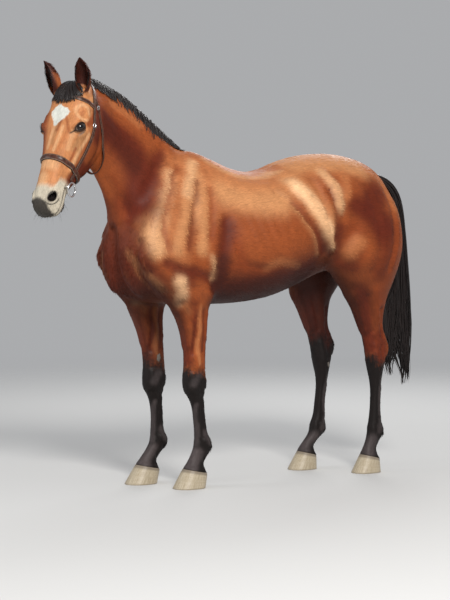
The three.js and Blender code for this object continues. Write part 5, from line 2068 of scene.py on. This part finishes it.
hair_piece("mane_locks", *mane(1000, 1, (40, 72), 0.02, 40), nodes=["mane"])
hair_piece("mane_near", *mane(620, -1, (30, 44), 0.012, 50))

# %% [markdown]
# The forelock falls forward from between the ears and fans out over the brow.
# Both it and the tail are laid on sections too: the head's, and the tail's own.

# %% Forelock
def forelock(count, seed, rows=13):
    """Locks down the brow, the middle ones longest."""
    own = np.random.default_rng(seed)
    s = np.linspace(0, 1, rows)[None]
    f = own.uniform(-1, 1, (count, 1))
    start_row = own.uniform(0.75, 1.35, (count, 1))
    end_row = 3.72 - 1.1 * abs(f) ** 1.5 - own.uniform(0, 0.7, (count, 1)) ** 1.4
    angle = mix(f * 15, f * 47, s ** 0.8) + wandering(count, rows, 2.5, seed + 1)
    rows_at = mix(start_row, end_row, s)
    height = mix(0.003, 0.014, own.random((count, 1))) * sin(pi * np.clip(0.15 + 0.8 * s, 0, 1)) + 0.001
    p, out = section_path(HEAD, rows_at, angle * RAD, height)
    width = own.uniform(0.003, 0.0062, (count, 1)) * arched(s, 0.14, 0.98, 0.7)
    return p, width, out


hair_piece("forelock_locks", *forelock(330, 60), nodes=["forelock"])

# %% [markdown]
# A tail is bone at its top and only hair below. Its locks run down a sheaf of
# sections, and gather into wisps towards the end as combed hair does.

# %% Tail
TAIL = sections("""
880 1540 890 1478 26
962 1530 942 1456 36
1034 1492 982 1420 41
1086 1424 1006 1368 45
1114 1334 1020 1300 49
1130 1212 1026 1195 53
1144 1070 1030 1062 57
1158 930 1034 922 59
1170 790 1040 784 58
1178 660 1050 654 53
1182 560 1066 556 47
1182 480 1084 480 39
1176 415 1100 440 30
""")


def tail(count, seed, rows=30, wisps=26):
    """Locks that part into wisps over their last third; the rear ones hang lowest."""
    own = np.random.default_rng(seed)
    s = np.linspace(0, 1, rows)[None]
    first = 4.2 * own.random((count, 1)) ** 1.5
    wisp = own.integers(0, wisps, count)
    middle = own.uniform(0, 2 * pi, wisps)[wisp, None]
    away = own.uniform(0.15, 1, wisps)[wisp, None] ** 0.6
    fall = own.exponential(0.55, wisps)[wisp, None]
    gathered = smooth(0.62, 1.0, s)
    angle = middle + own.normal(size=(count, 1)) * 0.9 * mix(1.0, 0.14, gathered)
    angle = angle + wandering(count, rows, 0.16, seed + 1)
    out_to = mix(own.uniform(0.1, 1, (count, 1)) ** 0.5, away, gathered)
    end = len(TAIL) - 1
    last = end - 0.9 * (1 - cos(middle)) - fall - own.exponential(0.35, (count, 1))
    rows_at = mix(first, np.clip(last, 6.5, end), s)
    depth = mix(0.55, 1.0, smooth(0, 0.3, s)) * out_to
    p, out = section_path(TAIL, rows_at, angle, 0 * angle - 0.002)
    st = station(TAIL, rows_at.ravel())
    centre = stacked((st[:, 0] + st[:, 2]) / 2, st[:, 5], (st[:, 1] + st[:, 3]) / 2).reshape(p.shape)
    drift = 0.004 * wandering(count, rows, 1.0, seed + 2)[..., None] * np.array([0.5, 1, 0])
    p = mix(centre, p, depth[..., None]) + drift
    width = own.uniform(0.0032, 0.0078, (count, 1)) * smooth(-0.08, 0.08, s) * np.clip(1 - s, 0.01, 1) ** 0.6
    return p, width, out


hair_piece("tail_locks", *tail(540, 70), nodes=["tail"])
clock("long hair")

# %% [markdown]
# ## Short coat
#
# The coat of a horse in work is short and lies flat, so most of it is in the
# bump of the skin. Over that go thin tufts, each a flat spindle of six faces
# that starts in the skin and follows the lie of the hair. They are thickest
# where hair breaks the outline: jaw, chest, belly, elbows, and behind the legs.

# %% Tufts
tri_points = straight[skin_tris]
tri_middle = tri_points.mean(axis=1)
tri_edges = tri_points[:, 1:] - tri_points[:, :1]
tri_area = np.linalg.norm(np.cross(tri_edges[:, 0], tri_edges[:, 1]), axis=1) / 2
tri_normal = unit(skin_normals[skin_tris].sum(axis=1))
tri_chart = chart_of(tri_middle)
tri_u, _, tri_v = head_axes(tri_middle)


def fringe(p, n):
    """Where hair stands a little longer, from 0 to 1."""
    x, y, z = p.T
    u, _, v = head_axes(p)
    on_head = (x < -0.82) & (u > 0)
    under = smooth(-0.3, -0.8, n[:, 2]) * smooth(0.75, 0.85, z) * smooth(1.25, 1.05, z)
    behind = smooth(0.2, 0.8, n[:, 0]) * smooth(0.9, 0.7, z) * 0.6
    heel = hump(z, 0.195, 0.07) * smooth(0.1, 0.7, n[:, 0])
    jaw = on_head * smooth(-0.3, -0.8, n @ HEAD_V) * 0.7
    ear = (u < 60) & (z > 1.93) & (abs(y) > 0.03)
    chest = smooth(0.3, 0.8, -n[:, 0]) * smooth(-0.45, -0.55, x) * hump(z, 1.1, 0.3) * 0.5
    return np.clip(np.maximum.reduce([under * 0.7, behind, heel, jaw, ear * 0.6, chest]), 0, 1)

# %% A piece of tufts
TUFT_TRIS = np.array([[0, 1, 2], [0, 2, 3], [0, 3, 1], [4, 2, 1], [4, 3, 2], [4, 1, 3]])
# brightness of each tuft's five points: painted shade at its root, lighter towards its tip
TUFT_ROOT_SHADE = np.array([0.92, 0.98, 1.0, 0.98, 1.08])
in_socket = (proud(tri_middle) < -0.0035) & (tri_middle[:, 0] < -0.86)
bare = 0.6 * ((tri_chart == 2) & (tri_u > 530))  # the lips
tuft_weight = tri_area * ~in_socket * (0.6 + fringe(tri_middle, tri_normal)) * (1 - bare)


def tufts(name, charts_of_it, count, length, width, height, seed):
    """A piece of tufts on some charts, more of them where the fringe is."""
    own = np.random.default_rng(seed)
    weight = tuft_weight * np.isin(tri_chart, charts_of_it)
    pick = own.choice(len(weight), count, p=weight / weight.sum())
    a, b = own.random((2, count, 1))
    a, b = np.where(a + b > 1, 1 - a, a), np.where(a + b > 1, 1 - b, b)
    root = tri_points[pick, 0] + a * tri_edges[pick, 0] + b * tri_edges[pick, 1]
    n = tri_normal[pick]
    more = fringe(root, n)[:, None]
    way = way_of_hair(root, n)
    way = unit(way + 0.16 * own.normal(size=(count, 1)) * np.cross(n, way))
    side = np.cross(n, way)
    size = own.uniform(0.7, 1.25, (count, 1)) * (1 + 0.9 * more)
    eye_near = np.minimum(*(np.linalg.norm(root - eye_place(k)[0], axis=1) for k in SIDES.values()))
    size = size * mix(0.45, 1.0, smooth(0.03, 0.07, eye_near))[:, None]
    long, wide, high = length * size, width * size ** 0.5, height * size
    rise = own.uniform(-0.2, 1.0, (count, 1)) * high + more * 0.12 * long
    mid, half = root + 0.42 * long * way, wide / 2 * side
    sunk = 0.0004 * n
    points = np.stack([root - 3 * sunk, mid - half - sunk, mid + high * n, mid + half - sunk,
                       root + long * way + rise * n], axis=1)
    piece = copies(name, points, TUFT_TRIS, root)
    shading = np.stack([n, n - 0.45 * side, n, n + 0.45 * side, n + 0.25 * way], axis=1)
    moved = [stance((points + far * shading).reshape(-1, 3)) for far in (0, 0.004)]
    piece.data.normals_split_custom_set_from_vertices(unit(moved[1] - moved[0]))
    colour = coat_colour(root, n) * own.uniform(0.86, 1.12, (count, 1))
    dress(piece, fur, "bay_coat", colours=(colour[:, None] * TUFT_ROOT_SHADE[None, :, None]).reshape(-1, 3))

# %% All the tufts
fur = Paint("fur", Roughness=0.47, Specular_IOR_Level=0.2)
fur.set(Base_Color=fur.stored("coat"))
for part, charts, *sizes in (("trunk", [0], 30000, 0.02, 0.0042, 0.0007, 101),
                             ("neck", [1], 11000, 0.018, 0.0038, 0.0007, 102),
                             ("head", [2], 20000, 0.0085, 0.0017, 0.0004, 103),
                             ("forelegs", [3, 4], 17000, 0.011, 0.0024, 0.0005, 104),
                             ("hindlegs", [5, 6], 20000, 0.012, 0.0026, 0.0005, 105)):
    tufts(f"tufts_{part}", charts, *sizes)
clock("tufts")

# %% [markdown]
# Last come the single stiff hairs: lashes on the upper lids, whiskers on the
# lips and chin, and the soft hair that fills the ears.

# %% Lashes
def single_hairs(name, roots, ways, lengths, thick, droop, rows=6):
    """Round hairs, each from its root along its way, drooping with the square of
    how far along it is."""
    s = np.linspace(0, 1, rows)[None, :, None]
    run = s * ways[:, None] + droop * s * s * np.array([0, 0, -1])
    paths = roots[:, None] + lengths[:, None, None] * run
    widths = thick * np.clip(1 - s[..., 0], 0.08, 1) ** 0.6 * np.ones((len(roots), 1))
    hair_piece(name, paths, widths, np.broadcast_to([0.1, 0.3, 1.0], paths.shape), flatness=1.0, around=4)


def both_sides(grow):
    """Roots and ways of the left side's hairs, then the right side's."""
    return (np.concatenate(k) for k in zip(*(grow(side) for side in SIDES.values())))


def lash_rows(side, count=46):
    centre, axes = eye_place(side)
    turn = np.linspace(0.28, 2.6, count) + rng.normal(size=count) * 0.02
    a, b = eye_opening(turn, 0.0006)
    rim = stacked(a, b, sqrt((EYE_BALL + LID) ** 2 - a * a - b * b) - 0.0008)
    way = stacked(0.5 * cos(turn), 0.35 + 0.25 * sin(turn), 0.9)
    return centre + rim @ axes, unit(way + rng.normal(size=(count, 3)) * 0.08) @ axes


roots, ways = both_sides(lash_rows)
single_hairs("lashes", roots, ways, rng.uniform(0.007, 0.012, len(roots)), 0.00028, 0.55)

# %% Whiskers
on_muzzle = (tri_u > 560) & (tri_v < -35) & (tri_chart == 2) & (abs(tri_normal[:, 1]) > 0.1)
under_jaw = (tri_u > 480) & (tri_normal @ HEAD_V < -0.5) & (tri_chart == 2)
pick = np.concatenate([rng.choice(np.flatnonzero(on_muzzle), 46), rng.choice(np.flatnonzero(under_jaw), 30)])
ways = unit(tri_normal[pick] + 0.5 * HEAD_U + rng.normal(size=(len(pick), 3)) * 0.25)
single_hairs("whiskers", tri_middle[pick], ways, rng.uniform(0.016, 0.04, len(pick)), 0.00028, 0.25)

# %% Hair in the ears
def ear_rows(side, count=420):
    _, up, opening, across = ear_axes(side)
    t = rng.uniform(0.14, 0.66, count)
    first = rng.random(count) < 0.5
    w = np.where(first, rng.uniform(pi, 1.25 * pi, count), rng.uniform(1.75 * pi, 2 * pi, count))
    inward = np.where(first, -1.0, 1.0)[:, None] * across
    way = 0.9 * up + 0.3 * inward + 0.35 * opening
    return ear_points(side, t, w), unit(way + rng.normal(size=(count, 3)) * 0.15)


roots, ways = both_sides(ear_rows)
single_hairs("ear_hair", roots, ways, rng.uniform(0.009, 0.019, len(roots)), 0.0005, 0.1, rows=4)

# %% [markdown]
# The chestnuts are the horny ovals inside each leg, above the knee and below
# the hock. Rays from the midline find the places for them.

# %% Chestnuts
chestnuts = []
t, w = np.linspace(0.03, 1, 12)[:, None] * pi, circle(24)
rough = 1 + 0.12 * sin(5 * w) * sin(t) + 0.08 * sin(9 * w + 1)
for x, z, reach in ((-0.262, 0.615, 0.02), (0.845, 0.535, 0.014)):
    for side in SIDES.values():
        hit, *_ = skin_tree.ray_cast(Vector((x, side * 0.01, z)), Vector((0, side, 0)), 0.3)
        axes = np.array([[0.15, 0, 1.0], [1.0, 0, -0.15], [0, -side, 0]])
        local = stacked(reach * sin(t) * cos(w) * rough, 0.5 * reach * sin(t) * sin(w) * rough,
                        0.0045 * cos(t))
        chestnuts.append(closed_tube(np.array(hit) + local @ axes))
points, faces = merged(chestnuts)
callus = Paint("chestnut", Base_Color=(0.1, 0.085, 0.072), Roughness=0.65)
callus.set(Normal=callus.bump(callus.noise(callus.place(), 180, 4), 0.001, 0.8))
dress(mesh_object("chestnuts", stance(points), faces), callus, "hoof_horn")
clock("small things")

# %% [markdown]
# ## Studio
#
# Pale floor, pale surround, and soft lamps: a large key high on the camera's
# right that models the shoulder and ribs, a weak fill, and one from behind.

# %% Light and floor
def lamp(name, place, aim, size, power, colour=(1, 1, 1)):
    data = bpy.data.lights.new(name, "AREA")
    data.shape, data.size, data.energy, data.color = "DISK", size, power, colour
    aimed(new_object(name, data), place, aim)
    print("lamp", name, size, "m", power, "W")


lamp("key", (-2.6, -7.6, 6.0), (0.0, 0.0, 1.2), 2.8, 830, (1.0, 0.975, 0.94))
lamp("fill", (-7.5, 2.0, 3.0), (-0.3, 0.0, 1.2), 4.0, 150, (0.94, 0.97, 1.0))
lamp("rim", (4.5, 4.0, 4.5), (0.2, 0.0, 1.3), 3.0, 150)

world = bpy.data.worlds.new("surround")
world.use_nodes = True
surround = world.node_tree.nodes["Background"].inputs
surround["Color"].default_value = (0.96, 0.975, 1.0, 1)
surround["Strength"].default_value = 0.42
scene.world = world

FLOOR = 40  # metres from its middle to each edge
ground = bpy.data.meshes.new("floor")
ground.from_pydata([(x * FLOOR, y * FLOOR, 0) for x, y in ((-1, -1), (1, -1), (1, 1), (-1, 1))], [],
                   [(0, 1, 2, 3)])
plain = Paint("floor", Base_Color=(0.62, 0.62, 0.615), Roughness=0.95, Specular_IOR_Level=0.05)
x, y, _ = plain.parts(plain.place())
plain.set(Alpha=plain.ramp((x ** 2 + y ** 2) ** 0.5, 3.0, 9.0, 1.0, 0.0))
ground.materials.append(plain.material)
new_object("floor", ground)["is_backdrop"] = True

# %% [markdown]
# The looks' size is printed beside the CAD's, so that the two can be compared.

# %% Sizes and finish
visual_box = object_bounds()
({name: [list(map(float, k)) for k in box]
           for name, box in (("cad", cad_box), ("visual", visual_box))})
print("CAD", cad_box, "visual", visual_box)
clock("done")
